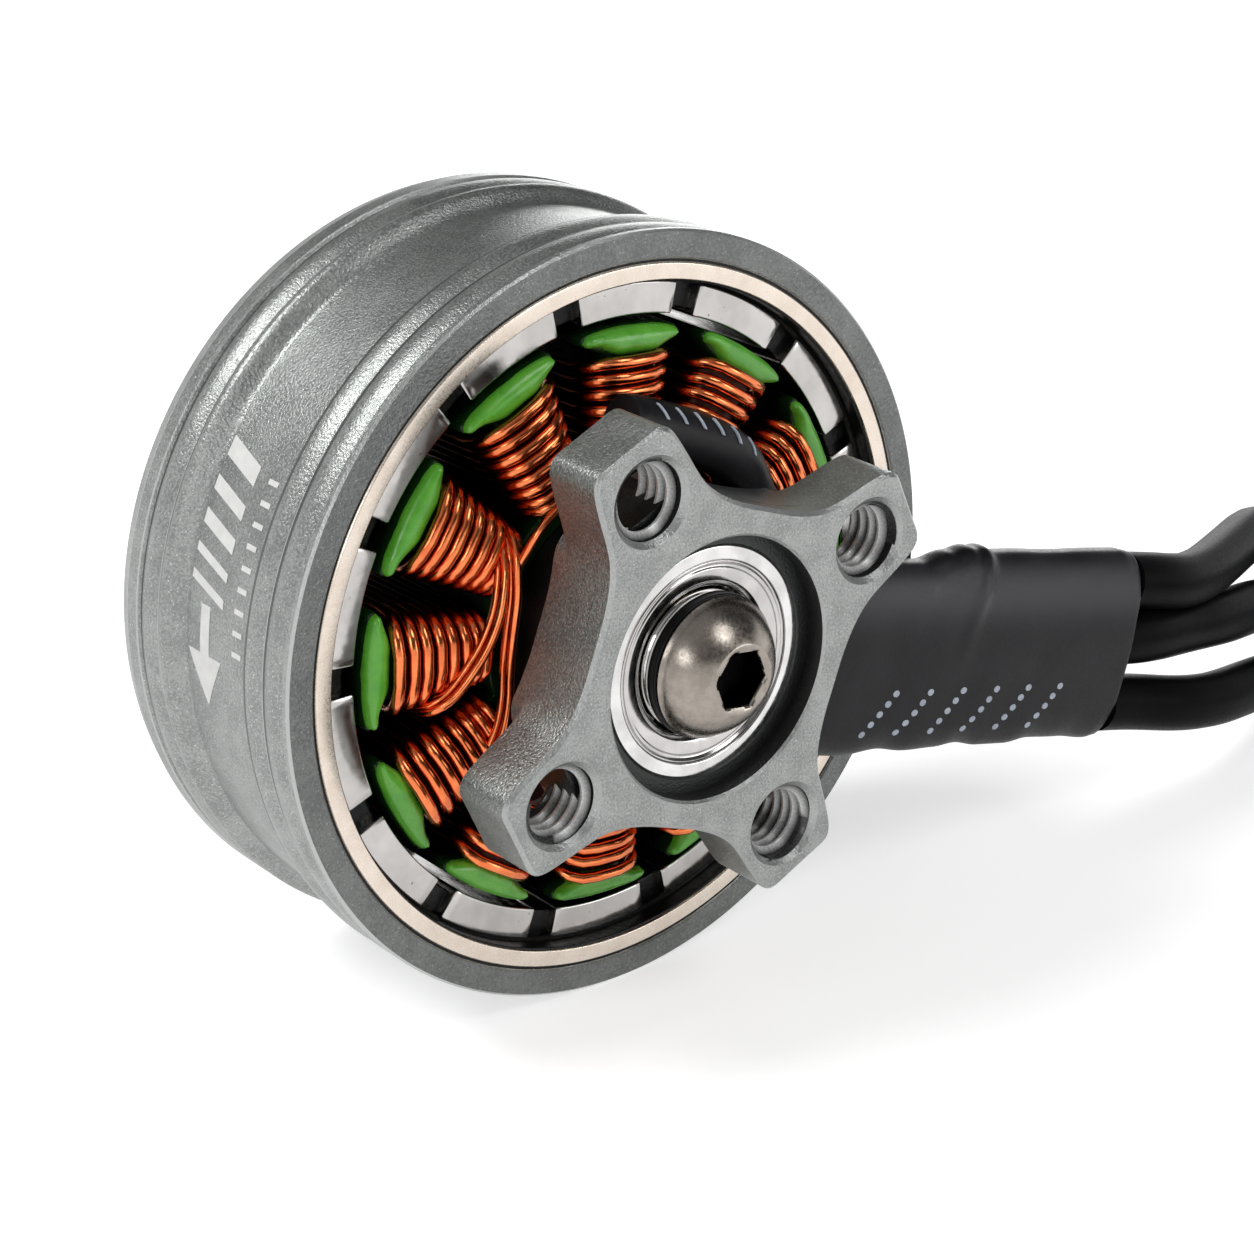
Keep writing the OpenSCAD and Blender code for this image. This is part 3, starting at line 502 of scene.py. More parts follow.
for k, letter in enumerate("abc"):
    path = leadLine(k)
    along = (path[-1] - path[-3]).normalized()
    lead = addTubes("lead" + letter.upper(), [path], leads["diameter"], leads["sides"], "silicone", "stator",
                    f"lead_{letter}", f"lead_{letter}_coil")
    end = addTubes("leadEnd" + letter.upper(), strandLines(path[-1] - along * leads["endInside"] * mm, along),
                   leads["strandDiameter"], 8, "tinned", "stator", f"lead_{letter}_end")

# The tie: a flat band around the three leads of the coil
tie = {"thickness": 0.3, "width": 2.4, "play": 0.1, "corner": 0.8, "turns": 0.5, "heights": (0.15, 2.99), "edge": 0.1}
tieAngle = 90 + leads["coilHeading"] - 360 * tie["turns"]
tieOut, tieAlong = Vector((*turnPoint(1, 0, tieAngle), 0)), Vector((*turnPoint(0, 1, tieAngle), 0))
coilMiddle = Vector((*leads["coilCentre"], 0)) * mm
halfThick, halfWide, halfLead = tie["thickness"] / 2, tie["width"] / 2, leads["diameter"] / 2
tieOuter = coilRadiusAt(0, tie["turns"]) + halfLead + tie["play"]
tieInner = coilRadiusAt(2, tie["turns"]) - halfLead - tie["play"]
tieRoute = roundCorners(rectangle(tieInner - halfThick, tieOuter + halfThick, *tie["heights"]), tie["corner"], 6)
tieRings = []
for i, p in enumerate(tieRoute):
    ahead = (tieRoute[(i + 1) % len(tieRoute)] - tieRoute[i - 1]).normalized()
    tieRings.append([])
    for q in roundCorners(rectangle(-halfThick, halfThick, -halfWide, halfWide), tie["edge"], 2):
        r, h = p.x + ahead.y * q.x, p.y - ahead.x * q.x
        tieRings[-1].append(coilMiddle + tieOut * r * mm + tieAlong * q.y * mm + Vector((0, 0, floorHeight + h * mm)))
tiePiece = addPiece("coilTie", loftMesh("coilTie", tieRings, looped=True), "nylon", "stator", "coil_tie")
print("leads and tie made")


# A helical ridge on a round wall along the shaft. Its foot and crest are given as half widths in pitches, and the
# crest dies out over a third of a turn at both ends
def threadRings(centre, wall, crest, pitch, start, end, steps=40, foot=0.49, top=0.1, lowest=0.06):
    count = round((end - start) / pitch * steps)
    low = mix(wall, crest, lowest)
    rings = []
    for i in range(count + 1):
        x, y = turnPoint(1, 0, 360 * i / steps)
        high = mix(low, crest, min(1.0, 3.0 * i / steps, 3.0 * (count - i) / steps))
        rings.append([inMotor(centre[0] + r * x, centre[1] + r * y, start + pitch * i / steps + d * pitch)
                      for r, d in ((low, -foot), (high, -top), (high, top), (low, foot), (2 * wall - crest, 0))])
    return rings


# Mounting base: four arms and a hub with flat sides, as traced, with M3 threads in its holes
base = {"holeCircle": 16, "holeRadius": 1.5, "threadCrest": 1.22, "threadPitch": 0.5, "threadStart": 0.32,
        "threadEnd": 2.62, "rear": 2.8, "hubRear": 3.5, "edge": 0.15, "countersink": 0.22, "counterbore": 5.1,
        "seat": 4.5, "seatDepth": 0.9, "bearing": 4, "shoulder": 4.0, "tube": 5.0, "tubeEnd": 14.3,
        "step": 0.16, "edgeHighlight": 0.5,
        # painted highlights on the edges begin at this radius; the walls of the seat and the holes are painted dark
        # as shade up to these
        "edgesFrom": 4.7, "seatWall": 5.3, "holeWall": 1.7,
        # half an arm, from the middle of its end to the middle of the hub's side: (along the arm, across it)
        "arm": [(10.28, 0.0), (10.28, 0.65), (10.28, 1.3), (10.2, 1.57), (10.0, 1.79), (9.7, 1.93), (9.2, 2.04),
                (8.5, 2.15), (7.8, 2.24), (7.1, 2.38), (6.5, 2.63), (5.95, 2.97), (5.45, 3.36), (5.05, 3.72),
                (4.7, 4.07), (4.385, 4.385)],
        "underArm": [(7.0, 0.0), (7.0, 1.2), (6.9, 1.9), (6.6, 2.5), (5.95, 2.98), (5.45, 3.37), (5.05, 3.73),
                     (4.7, 4.08), (4.39, 4.39)]}
holeAt = base["holeCircle"] / 2 * math.sqrt(0.5)


# The closed outline of four arms from half of one
def armsOutline(half):
    arm = smoothLine([Vector((x, -y)) for x, y in half[:0:-1]] + [Vector(p) for p in half], base["step"])[:-1]
    return [Vector(turnPoint(p.x, p.y, 45 + 90 * k)) for k in range(4) for p in arm]


def circleOutline(x, y, radius, count=72):
    turn = 2 * math.pi / count
    return [Vector((x + radius * math.cos(turn * i), y + radius * math.sin(turn * i))) for i in range(count)]


# Walls down from each outline, with faces in front and behind; a wall is a list of (inset, depth)
def addPlate(bm, *walls):
    ends = []
    for outline, wall in walls:
        normals = []
        for i in range(len(outline)):
            ahead = outline[(i + 1) % len(outline)] - outline[i - 1]
            normals.append(Vector((-ahead.y, ahead.x)).normalized())
        rings = [[bm.verts.new(inMotor(*(p + n * inset), depth)) for p, n in zip(outline, normals)]
                 for inset, depth in wall]
        addSkin(bm, rings)
        ends.append((rings[0], rings[-1]))
    for loops in zip(*ends):
        flat = [v for loop in loops for v in loop]
        for triangle in geometry.tessellate_polygon([[Vector((v.co.x, v.co.z, 0)) for v in loop] for loop in loops]):
            bm.faces.new([flat[i] for i in triangle])


def makeBase():
    bm = bmesh.new()
    edge, sink, rear, hubRear = base["edge"], base["countersink"], base["rear"], base["hubRear"]
    seat, seatDepth, end, wall = base["seat"], base["seatDepth"], base["tubeEnd"], base["tube"]
    holes = [circleOutline(*turnPoint(base["holeCircle"] / 2, 0, 45 + 90 * k), base["holeRadius"]) for k in range(4)]
    addPlate(bm, (armsOutline(base["arm"]), [(edge, 0), (0, edge), (0, rear - edge), (edge, rear)]),
             (circleOutline(0, 0, base["counterbore"], 180), [(-0.1, 0), (0, 0.1), (0, rear - 0.1), (-0.1, rear)]),
             *[(hole, [(-sink, 0), (0, sink), (0, rear - sink), (-sink, rear)]) for hole in holes])
    addPlate(bm, (armsOutline(base["underArm"]), [(0, seatDepth), (0, hubRear - edge), (edge, hubRear)]),
             (circleOutline(0, 0, seat, 144), [(-0.08, seatDepth), (0, seatDepth + 0.08), (0, hubRear)]))
    seatEnd, rearSeat, shoulder = seatDepth + base["bearing"], end - base["bearing"], base["shoulder"]
    tube = [(seat, hubRear - 0.5), (seat, seatEnd), (shoulder, seatEnd), (shoulder, rearSeat), (seat, rearSeat),
            (seat, end), (wall, end), (wall, hubRear - 0.5)]
    addLoft(bm, turnedRings(roundCorners(tube, 0.06, 2), 144), looped=True)
    mesh = closedMesh("mountingBase", bm, 30)
    holeAxes = [inMotor(x * holeAt, y * holeAt, 0) for x in (-1, 1) for y in (-1, 1)]
    edges, paintedShades = [], []
    for face in mesh.polygons:
        tilt, place = abs(face.normal.y), face.center
        radius = math.hypot(place.x, place.z) / mm
        fromHole = min(math.hypot(place.x - h.x, place.z - h.z) for h in holeAxes) / mm
        # Painted highlights on the chamfers
        edges.append(base["edgeHighlight"] if 0.5 < tilt < 0.9 and radius > base["edgesFrom"] else 0.0)
        # Painted shade on the floor of the seat and on the walls of the seat and the holes
        inSeat, inHole = radius < base["seatWall"], fromHole < base["holeWall"]
        floorOfSeat = abs(place.y / mm - seatDepth) < 0.1 and (tilt > 0.5 or inSeat)
        paintedShades.append(float(floorOfSeat or tilt < 0.5 and (inSeat or inHole)))
    markMesh(mesh, "edge", "FACE", edges)
    markMesh(mesh, "paintedShade", "FACE", paintedShades)
    return mesh


addPiece("mountingBase", makeBase(), "anodised", "stator", "mounting_base")
holeRings = threadRings((holeAt, holeAt), base["holeRadius"], base["threadCrest"], base["threadPitch"],
                        base["threadStart"], base["threadEnd"])
oneThread = loftMesh("oneThread", holeRings, degrees=50)
# The crest is marked, so that the flanks go from a painted highlight at the crest to painted shade in the groove
holeAxis = inMotor(holeAt, holeAt, 0)
markMesh(oneThread, "edge", "POINT", [
    float(abs(math.hypot(v.co.x - holeAxis.x, v.co.z - holeAxis.z) / mm - base["threadCrest"]) < 0.03)
    for v in oneThread.vertices])
addCopies("mountingThreads", oneThread, 4, "thread", "stator")
print("mounting base made")

# Bearings, each from its front face
bearing = {"width": 4.0, "pitchRadius": 3.25, "ballDiameter": 1.6, "balls": 7, "grooveRadius": 0.86,
           "grooveReach": 54, "landEnd": 0.35, "lipEnd": 0.2, "fronts": {"front": 0.9, "rear": 10.3},
           # a race's body, its wall beside the balls and away from them, and its wall on the other side
           "races": {"outer": ("stator", 3.75, 3.95, 4.5), "inner": ("rotor", 2.75, 2.62, 2.0)},
           "shield": [(3.93, 0.08), (3.86, 0.05), (3.78, 0.15), (3.68, 0.18), (3.6, 0.1), (3.12, 0.2), (2.96, 0.36),
                      (2.86, 0.38)], "shieldThickness": 0.1}


def raceOutline(front, land, wall, bore):
    inwards = 1 if bore > land else -1
    rear, reach = front + bearing["width"], bearing["grooveReach"]
    landEnd, lipEnd = bearing["landEnd"], bearing["lipEnd"]
    groove = []
    for i in range(9):
        x, y = turnPoint(bearing["grooveRadius"], 0, mix(-reach, reach, i / 8))
        groove.append((bearing["pitchRadius"] + inwards * x, front + bearing["width"] / 2 + y))
    return [(bore, front), (bore, rear), (wall, rear), (wall, rear - lipEnd), (land, rear - landEnd),
            *reversed(groove), (land, front + landEnd), (wall, front + lipEnd), (wall, front)]


def shieldOutline(face, sign):
    behind = [(r, d + bearing["shieldThickness"]) for r, d in reversed(bearing["shield"])]
    return [(r, face + sign * d) for r, d in bearing["shield"] + behind]


for side, front in bearing["fronts"].items():
    for part, (body, *radii) in bearing["races"].items():
        addTurned(f"{side}{part.title()}Race", raceOutline(front, *radii), 0.07, "bearing", body,
                  f"{side}_bearing_{part}_race")
    shields = bmesh.new()
    for face, sign in ((front, 1), (front + bearing["width"], -1)):
        addLoft(shields, turnedRings(roundCorners(shieldOutline(face, sign), 0.04, 2), 160), looped=True)
    addPiece(side + "Shields", closedMesh(side + "Shields", shields), "shield", "stator", f"{side}_bearing_shields")
    oneBall = bmesh.new()
    bmesh.ops.create_uvsphere(oneBall, u_segments=24, v_segments=16, radius=bearing["ballDiameter"] / 2 * mm)
    bmesh.ops.translate(oneBall, verts=oneBall.verts,
                        vec=inMotor(bearing["pitchRadius"], 0, front + bearing["width"] / 2))
    addCopies(side + "Balls", closedMesh("oneBall", oneBall, 60), bearing["balls"], "bearing", side + "_balls",
              f"{side}_bearing_balls")
print("bearings made")

# Retaining screw: domed head with a hexagon socket, and its washer
screw = {"seat": 0.45, "headRadius": 2.75, "headHeight": 1.65, "topRadius": 1.35, "socketAcross": 2.06,
         "socketDepth": 1.05, "shankRadius": 1.25, "shankLength": 7.0, "turn": 12.0, "washerRadius": 2.8,
         "washerBore": 1.3, "washer": 0.45, "rim": 0.12, "darkTo": 1.24, "sides": 120}


def screwRings():
    low, high, height, sides = screw["headRadius"], screw["topRadius"], screw["headHeight"], screw["sides"]
    shank, length, bottom = screw["shankRadius"], screw["shankLength"], height - screw["socketDepth"]
    rim, domeSteps = screw["rim"], 15
    centre = (low ** 2 - high ** 2 - height ** 2) / (2 * height)
    dome = math.sqrt(low ** 2 + centre ** 2)
    outline = [(shank - 0.2, -length), (shank, 0.2 - length), (shank, 0), (low - rim, 0), (low - 0.03, 0.03),
               (low, rim)]
    for i in range(1, domeSteps):
        z = rim + (height - rim) * i / domeSteps
        outline.append((math.sqrt(dome ** 2 - (z + centre) ** 2), z))
    outline += [(high + 0.06, height - 0.03), (high, height), (1.27, height - 0.005)]
    # each ring is a circle or a hexagon: radius of the circle, size of the hexagon, height
    levels = [(radius, 0.0, z) for radius, z in outline]
    levels += [(0.0, 1.04, height - 0.07), (0.0, 1.0, height - 0.16), (0.0, 1.0, bottom), (0.9, 0.0, bottom - 0.02),
               (0.05, 0.0, bottom - 0.4)]
    flats = [screw["socketAcross"] / 2 / math.cos(2 * math.pi * i / sides % (math.pi / 3) - math.pi / 6)
             for i in range(sides)]
    return [[aroundShaft(radius + size * flats[i], 360 * i / sides + screw["turn"], screw["seat"] - z)
             for i in range(sides)] for radius, size, z in levels]


screwMesh = loftMesh("retainingScrew", screwRings(), degrees=40)
socketTop = (screw["seat"] - screw["headHeight"] + 0.2) * mm
# The socket's walls and floor are painted near black as shade
markMesh(screwMesh, "edge", "FACE", [
    float(f.center.y > socketTop and math.hypot(f.center.x, f.center.z) < screw["darkTo"] * mm)
    for f in screwMesh.polygons])
addPiece("retainingScrew", screwMesh, "screw", "rotor", "retaining_screw")
addTurned("retainingWasher", rectangle(screw["washerBore"], screw["washerRadius"], screw["seat"],
                                       screw["seat"] + screw["washer"]), 0.08, "washer", "rotor", "retaining_washer")
print("screw made")

# Shaft: ground journal, collar and the threaded stud of the propeller
shaft = {"journal": 1.98, "front": 1.3, "collar": 2.9, "collarFront": 16.3, "seat": 17.9, "relief": 18.7, "end": 30.9,
         "neck": 2.35, "core": 2.04, "crest": 2.49, "pitch": 0.8, "axis": 0.02, "spacer": (2.0, 2.75, 14.3, 14.9),
         "edge": 0.08, "neckEnd": 18.4, "thread": (18.8, 30.45), "chamfer": (0.25, 0.2)}
axis, journal, collar, neck, core = [shaft[key] for key in ("axis", "journal", "collar", "neck", "core")]
chamfer, chamferLong = shaft["chamfer"]
addTurned("shaft", [
    (axis, shaft["front"]), (journal, shaft["front"]), (journal, shaft["collarFront"]),
    (collar, shaft["collarFront"]), (collar, shaft["seat"]), (neck, shaft["seat"]), (neck, shaft["neckEnd"]),
    (core, shaft["relief"]),
    (core, shaft["end"] - chamferLong), (core - chamfer, shaft["end"]), (axis, shaft["end"])],
    shaft["edge"], "steel", "rotor", "shaft")
studRings = threadRings((0, 0), core, shaft["crest"], shaft["pitch"], *shaft["thread"], 64)
addPiece("studThread", loftMesh("studThread", studRings, degrees=50), "steel", "rotor")
addTurned("rearSpacer", rectangle(*shaft["spacer"]), 0.06, "bearing", "rotor", "rear_spacer")
print("shaft made")

# Stator: coated laminations, with a thick coat of epoxy on each end of a tooth tip
stator = {"teeth": 12, "phase": 16.5, "outer": 11.5, "bore": 5.02, "yoke": 5.9, "shank": 1.0, "tipAngle": 22.78,
          "shankRoot": 5.815, "tipRoot": 10.45, "tipEnd": 0.36, "front": 6.3, "rear": 13.3, "edge": 0.12,
          "corner": 0.16,
          # coats: thickness, its loss at the ends, inner radius at the ends and in the lobe, place of the lobe,
          # where it starts and how soon it is full, height and size of lumps
          "coat": 0.45, "coatThins": 0.28, "coatEnd": 10.98, "coatLobe": 10.42, "lobeShift": 0.08,
          "lobeStart": 0.92, "lobeRise": 0.62, "coatLumps": 0.06, "lumpSize": 1.1}
halfTip = math.radians(stator["tipAngle"] / 2)


def toothOutline():
    outer, shank = stator["outer"], stator["shank"]
    side, reach = outer * math.sin(halfTip), outer * math.cos(halfTip)
    lower = [turnPoint(stator["yoke"], 0, -degrees) for degrees in (14, 12.5, 11)]
    lower += [(stator["shankRoot"], -shank), (stator["tipRoot"], -shank), (reach - stator["tipEnd"], -side),
              (reach, -side)]
    lower += [(outer * math.cos(halfTip * k / 5), -outer * math.sin(halfTip * k / 5)) for k in (4, 3, 2, 1)]
    return lower + [(outer, 0)] + [(x, -y) for x, y in reversed(lower)]


# The stack: a flat plate with round edges from its outline and the outline of its bore
def coreMesh(outlines):
    curve = bpy.data.curves.new("statorCore", "CURVE")
    curve.dimensions = "2D"
    curve.fill_mode = "BOTH"
    curve.extrude = ((stator["rear"] - stator["front"]) / 2 - stator["edge"]) * mm
    curve.bevel_depth = stator["edge"] * mm
    curve.bevel_resolution = 2
    curve.offset = -stator["edge"] * mm
    for outline in outlines:
        spline = curve.splines.new("POLY")
        spline.points.add(len(outline) - 1)
        for point, (x, y) in zip(spline.points, outline):
            point.co = (x * mm, y * mm, 0, 1)
        spline.use_cyclic_u = True
    bm = bmesh.new()
    bm.from_mesh(takeMesh(addObject("statorCore", curve)))
    for vertex in bm.verts:
        x, y, z = vertex.co
        vertex.co = inMotor(x / mm, y / mm, (stator["front"] + stator["rear"]) / 2 + z / mm)
    return closedMesh("statorCore", bm, 50)


wholeOutline = [turnPoint(x, y, stator["phase"] + 30 * tooth) for tooth in range(stator["teeth"])
                for x, y in toothOutline()]
# The stack's epoxy is painted near black as shade
addPiece("statorCore", coreMesh([roundCorners(wholeOutline, stator["corner"]),
                                 [turnPoint(stator["bore"], 0, 3 * i) for i in range(120)]]),
         "core", "stator", "stator_core")


# One coat from its rim inwards: thin at both ends, with a lobe towards the winding in the middle
def tipCoatRings(face, sign):
    outer, steps = stator["outer"] - 0.01, 40
    rim, middle = [], []
    for i in range(steps + 1):
        share = 2 * i / steps - 1
        blunt = math.sqrt(max(0.0, 1 - abs(share) ** 12))
        lobe = clamp((stator["lobeStart"] - abs(share + stator["lobeShift"])) / stator["lobeRise"])
        low = mix(stator["coatEnd"], stator["coatLobe"], lobe * lobe * (3 - 2 * lobe))
        centre = (low + outer) / 2
        rim.append((share * halfTip, centre - (centre - low) * blunt, centre + (outer - centre) * blunt))
        middle.append((share * 0.9 * halfTip, centre))
    around = [(a, low) for a, low, high in rim] + [(a, high) for a, low, high in reversed(rim)][1:-1]
    rings = []
    for inset in (-1, 0, 0.04, 0.12, 0.25, 0.42, 0.62, 0.82, 0.96):
        share = max(0.0, inset)
        rings.append([])
        for (a, r), (am, rm) in zip(around, middle + middle[::-1][1:-1]):
            thick = 1 - stator["coatThins"] + stator["coatThins"] * math.cos(am / halfTip * math.pi / 2)
            lift = -0.12 if inset < 0 else stator["coat"] * thick * math.sqrt(1 - (1 - share) ** 2)
            rings[-1].append(aroundShaft(mix(r, rm, share), stator["phase"] + math.degrees(mix(a, am, share)),
                                         face - sign * lift))
    return rings


coats = bmesh.new()
addLoft(coats, tipCoatRings(stator["front"], 1))
addLoft(coats, tipCoatRings(stator["rear"], -1))
addCopies("tipCoats", closedMesh("oneTipCoat", coats, 85), stator["teeth"], "epoxy", "stator",
          unevenness=stator["coatLumps"], lumpSize=stator["lumpSize"])
print("stator made")

# Windings: one wire per tooth in an outer layer of turns around a body that stands for the lower turns, painted near
# black as the shade between the turns
winding = {"wire": 0.47, "turns": 7.5, "perTurn": 36, "start": 6.35, "end": 10.2, "pitchGrowth": 1.12,
           "width": (1.25, 1.88), "height": 4.15, "bow": 1.6, "boxy": 2.7, "lean": 0.4, "middle": 9.8, "sides": 12,
           "waver": 0.045, "core": 0.33,
           # the lean begins this far from the stack's middle and is full this much further on
           "leanFrom": (2.8, 1.1)}


# A point on a loop around a tooth: bowed over the ends of the stack, straight along its sides
def loopPoint(share, half, height, bow):
    straight, arc = 2 * (height - bow), math.pi / 2 * half + 1.2 * bow
    s = (share % 1.0) * (2 * straight + 2 * arc)

    def end(part):
        power = 2 / winding["boxy"]
        return (half * signedPower(math.cos(math.pi * part), power),
                height - bow + bow * abs(math.sin(math.pi * part)) ** power)

    if s < arc:
        return end(s / arc)
    if s < arc + straight:
        return -half, height - bow - (s - arc)
    if s < 2 * arc + straight:
        x, y = end((s - arc - straight) / arc)
        return -x, -y
    return half, bow - height + (s - 2 * arc - straight)


# A point of a winding at a share of its length along the tooth; the turns lean outwards over the stack's ends
def woundPoint(turn, share, nudge, inset, turnAt):
    half = mix(*winding["width"], share) - inset + 0.4 * nudge[0]
    across, along = loopPoint(turn, half, winding["height"] - inset + nudge[1], winding["bow"] - inset)
    leanStart, leanRise = winding["leanFrom"]
    lean = winding["lean"] * share * clamp((abs(along) - leanStart) / leanRise)
    u, v = turnPoint(mix(winding["start"], winding["end"], share) + lean + nudge[0], across, turnAt)
    return inMotor(u, v, winding["middle"] - along)


def windingLine(number):
    chance = random.Random(70 + number)
    nudges = [(chance.uniform(-1, 1), chance.uniform(-1, 0.6)) for k in range(10)]
    line = []
    total = round(winding["turns"] * winding["perTurn"])
    for i in range(total + 1):
        turn = i / winding["perTurn"]
        nudge = [mix(a, b, turn % 1.0) * winding["waver"] for a, b in zip(nudges[int(turn)], nudges[int(turn) + 1])]
        line.append(woundPoint(turn, (i / total) ** winding["pitchGrowth"], nudge, 0.0,
                               stator["phase"] + 30 * (number - 1)))
    return line


for number in range(1, stator["teeth"] + 1):
    addTubes(f"winding{number:02d}", [windingLine(number)], winding["wire"], winding["sides"], "copper", "stator",
             f"winding_{number:02d}")
coreRings = [[woundPoint(i / 48, share, (0, 0), winding["core"], stator["phase"]) for i in range(48)]
             for share in (0.0, 0.2, 0.4, 0.6, 0.8, 0.93)]
addCopies("windingCores", loftMesh("oneWindingCore", coreRings), stator["teeth"], "lowerTurns", "stator")

# Loose ends that run from tooth to tooth beside the hub, some in pairs
tails = {"wire": 0.34, "pairBehind": 0.42, "step": 0.25, "sides": 10, "pairs": [
    [(-6.5, 3.4, 8.0), (-6.55, 3.0, 6.6), (-6.62, 2.6, 5.6), (-6.6, 2.1, 5.1), (-6.5, 1.5, 4.9), (-6.28, 0.56, 4.75),
     (-6.01, -0.94, 4.7), (-5.61, -2.17, 4.8), (-5.2, -3.24, 4.9), (-5.0, -4.3, 4.95), (-5.0, -5.2, 5.05)],
    [(-6.7, 3.3, 8.0), (-6.78, 2.9, 6.8), (-6.82, 2.3, 5.9), (-6.8, 1.6, 5.3), (-6.75, 0.8, 5.05),
     (-6.73, -0.18, 4.9), (-6.88, -1.38, 4.88), (-7.23, -2.48, 4.95), (-7.6, -3.4, 5.1),
     (-7.98, -4.0, 5.4), (-8.05, -4.4, 6.2),
     (-7.9, -4.5, 7.6)],
], "single": [(-5.4, 4.7, 4.4), (-5.76, 4.27, 4.4), (-6.15, 3.72, 4.45), (-6.45, 3.08, 4.5), (-6.5, 2.4, 4.7),
              (-6.4, 1.7, 5.05), (-6.3, 1.2, 5.3)]}
tailRoutes = [[(u, v, depth + behind) for u, v, depth in route]
              for route in tails["pairs"] for behind in (0, tails["pairBehind"])] + [tails["single"]]
addTubes("windingTails", [smoothRoute(route, tails["step"]) for route in tailRoutes], tails["wire"], tails["sides"],
         "copper", "stator", "winding_tails")
print("windings made")

# Sleeves over the winding ends, and the shrink tube over the start of the leads
sleeves = {"diameter": 2.1, "sides": 28, "step": 0.3, "unevenness": 0.05, "lump": 0.45, "start": 0.93, "routes": {
    "upper": [(-4.5, 7.78, 4.0), (-3.7, 7.78, 4.0), (-2.5, 7.75, 4.0), (-1.0, 7.68, 4.0), (0.4, 7.5, 4.0),
              (1.6, 7.1, 4.1), (2.55, 6.45, 4.3), (3.4, 5.8, 4.5), (4.4, 5.1, 4.5), (5.3, 4.4, 4.4), (6.1, 3.7, 4.2),
              (6.9, 3.1, 4.05), (7.82, 2.95, 4.0)],
    "lower": [(-3.2, -5.95, 4.6), (-2.0, -6.2, 4.6), (-0.5, -6.4, 4.6), (1.2, -6.45, 4.6), (3.0, -6.3, 4.6),
              (4.4, -5.75, 4.5), (5.6, -4.7, 4.3), (6.6, -3.7, 4.1), (7.4, -2.9, 4.0), (8.48, -2.58, 4.0)],
    "middle": [(6.4, -0.02, 4.0), (7.0, 0.05, 4.0), (7.6, 0.13, 4.0), (8.14, 0.19, 4.0)]},
    # short bars along the upper sleeve: first place, step, count, slant, and the angles between which they lie
    "bars": (1.0, 0.95, 6, 0.35, (62, 28)), "barSize": (-0.1, 0.035, -0.07, 0.07)}
for side, route in sleeves["routes"].items():
    line = smoothRoute(route, sleeves["step"])
    swell = [1 + sleeves["unevenness"] * noise.noise(p / mm * sleeves["lump"]) for p in line]
    addTubes(side + "Sleeve", [line], sleeves["diameter"], sleeves["sides"], "sleeve", "stator", side + "_sleeve",
             swell=[sleeves["start"]] + swell[1:])


# A thin bar on the skin of a sleeve, from one angle round it to another
def addSleeveBar(bm, line, start, slant, angles):
    rings = []
    for share in (i / 6 for i in range(7)):
        place, k = (start + slant * share) * mm, 0
        while place > (line[k + 1] - line[k]).length and k < len(line) - 3:
            place -= (line[k + 1] - line[k]).length
            k += 1
        ahead = (line[k + 1] - line[k]).normalized()
        middle = line[k] + ahead * place
        outwards = Vector((0, 1, 0)).cross(ahead).normalized()
        outwards = outwards if outwards.dot(middle) > 0 else -outwards
        a = math.radians(mix(*angles, share))
        normal = outwards * math.sin(a) - Vector((0, 1, 0)) * math.cos(a)
        low, high, left, right = sleeves["barSize"]
        rings.append([middle + (normal * (sleeves["diameter"] / 2 + lift) + ahead * side) * mm
                      for lift, side in ((low, left), (high, left), (high, right), (low, right))])
    addLoft(bm, rings)


sleeveBars = bmesh.new()
start, step, count, slant, angles = sleeves["bars"]
upperLine = smoothRoute(sleeves["routes"]["upper"], sleeves["step"])
for i in range(count):
    addSleeveBar(sleeveBars, upperLine, start + step * i, slant, angles)
addPiece("sleeveBars", closedMesh("sleeveBars", sleeveBars, 60), "dots", "stator")

shrink = {"width": 8.4, "thickness": 2.7, "fullness": 2.7, "wall": 0.16, "lip": 1.2, "steps": 140, "around": 84,
          # how far the upper and lower edges stand out along the tube: (distance, change)
          "upper": [(0, -0.5), (5.5, -0.42), (7.0, -0.02), (8.0, 0.2), (8.8, 0.02), (9.6, -0.03), (12, 0.0),
                    (17.6, 0.05), (18.3, -0.05), (18.6, -0.25)],
          "lower": [(0, 0.1), (3, 0.16), (5, 0.02), (6.5, 0.14), (8.2, 0.08), (9.6, -0.06), (11, 0.1), (12.6, 0.1),
                    (14, -0.1), (16, -0.02), (17.8, 0.1), (18.3, 0.02), (18.6, -0.2)],
          # a fold over the upper part: place, height, length, slant; where it starts across the tube and its rise
          "fold": (8.6, 0.2, 0.42, 0.25), "foldAcross": (-0.6, 3.2),
          # dips between the leads: share and step across the tube; and small ripples: height and closeness
          "dips": (0.03, 2.8), "ripple": (0.06, 0.4),
          # the painted highlight, a pale band over the upper lead: place and width across the tube
          "highlightBand": (2.6, 0.95)}


def valueAt(table, s):
    for (a, low), (b, high) in zip(table, table[1:]):
        if s <= b:
            share = max(0.0, (s - a) / (b - a))
            return mix(low, high, share * share * (3 - 2 * share))
    return table[-1][1]


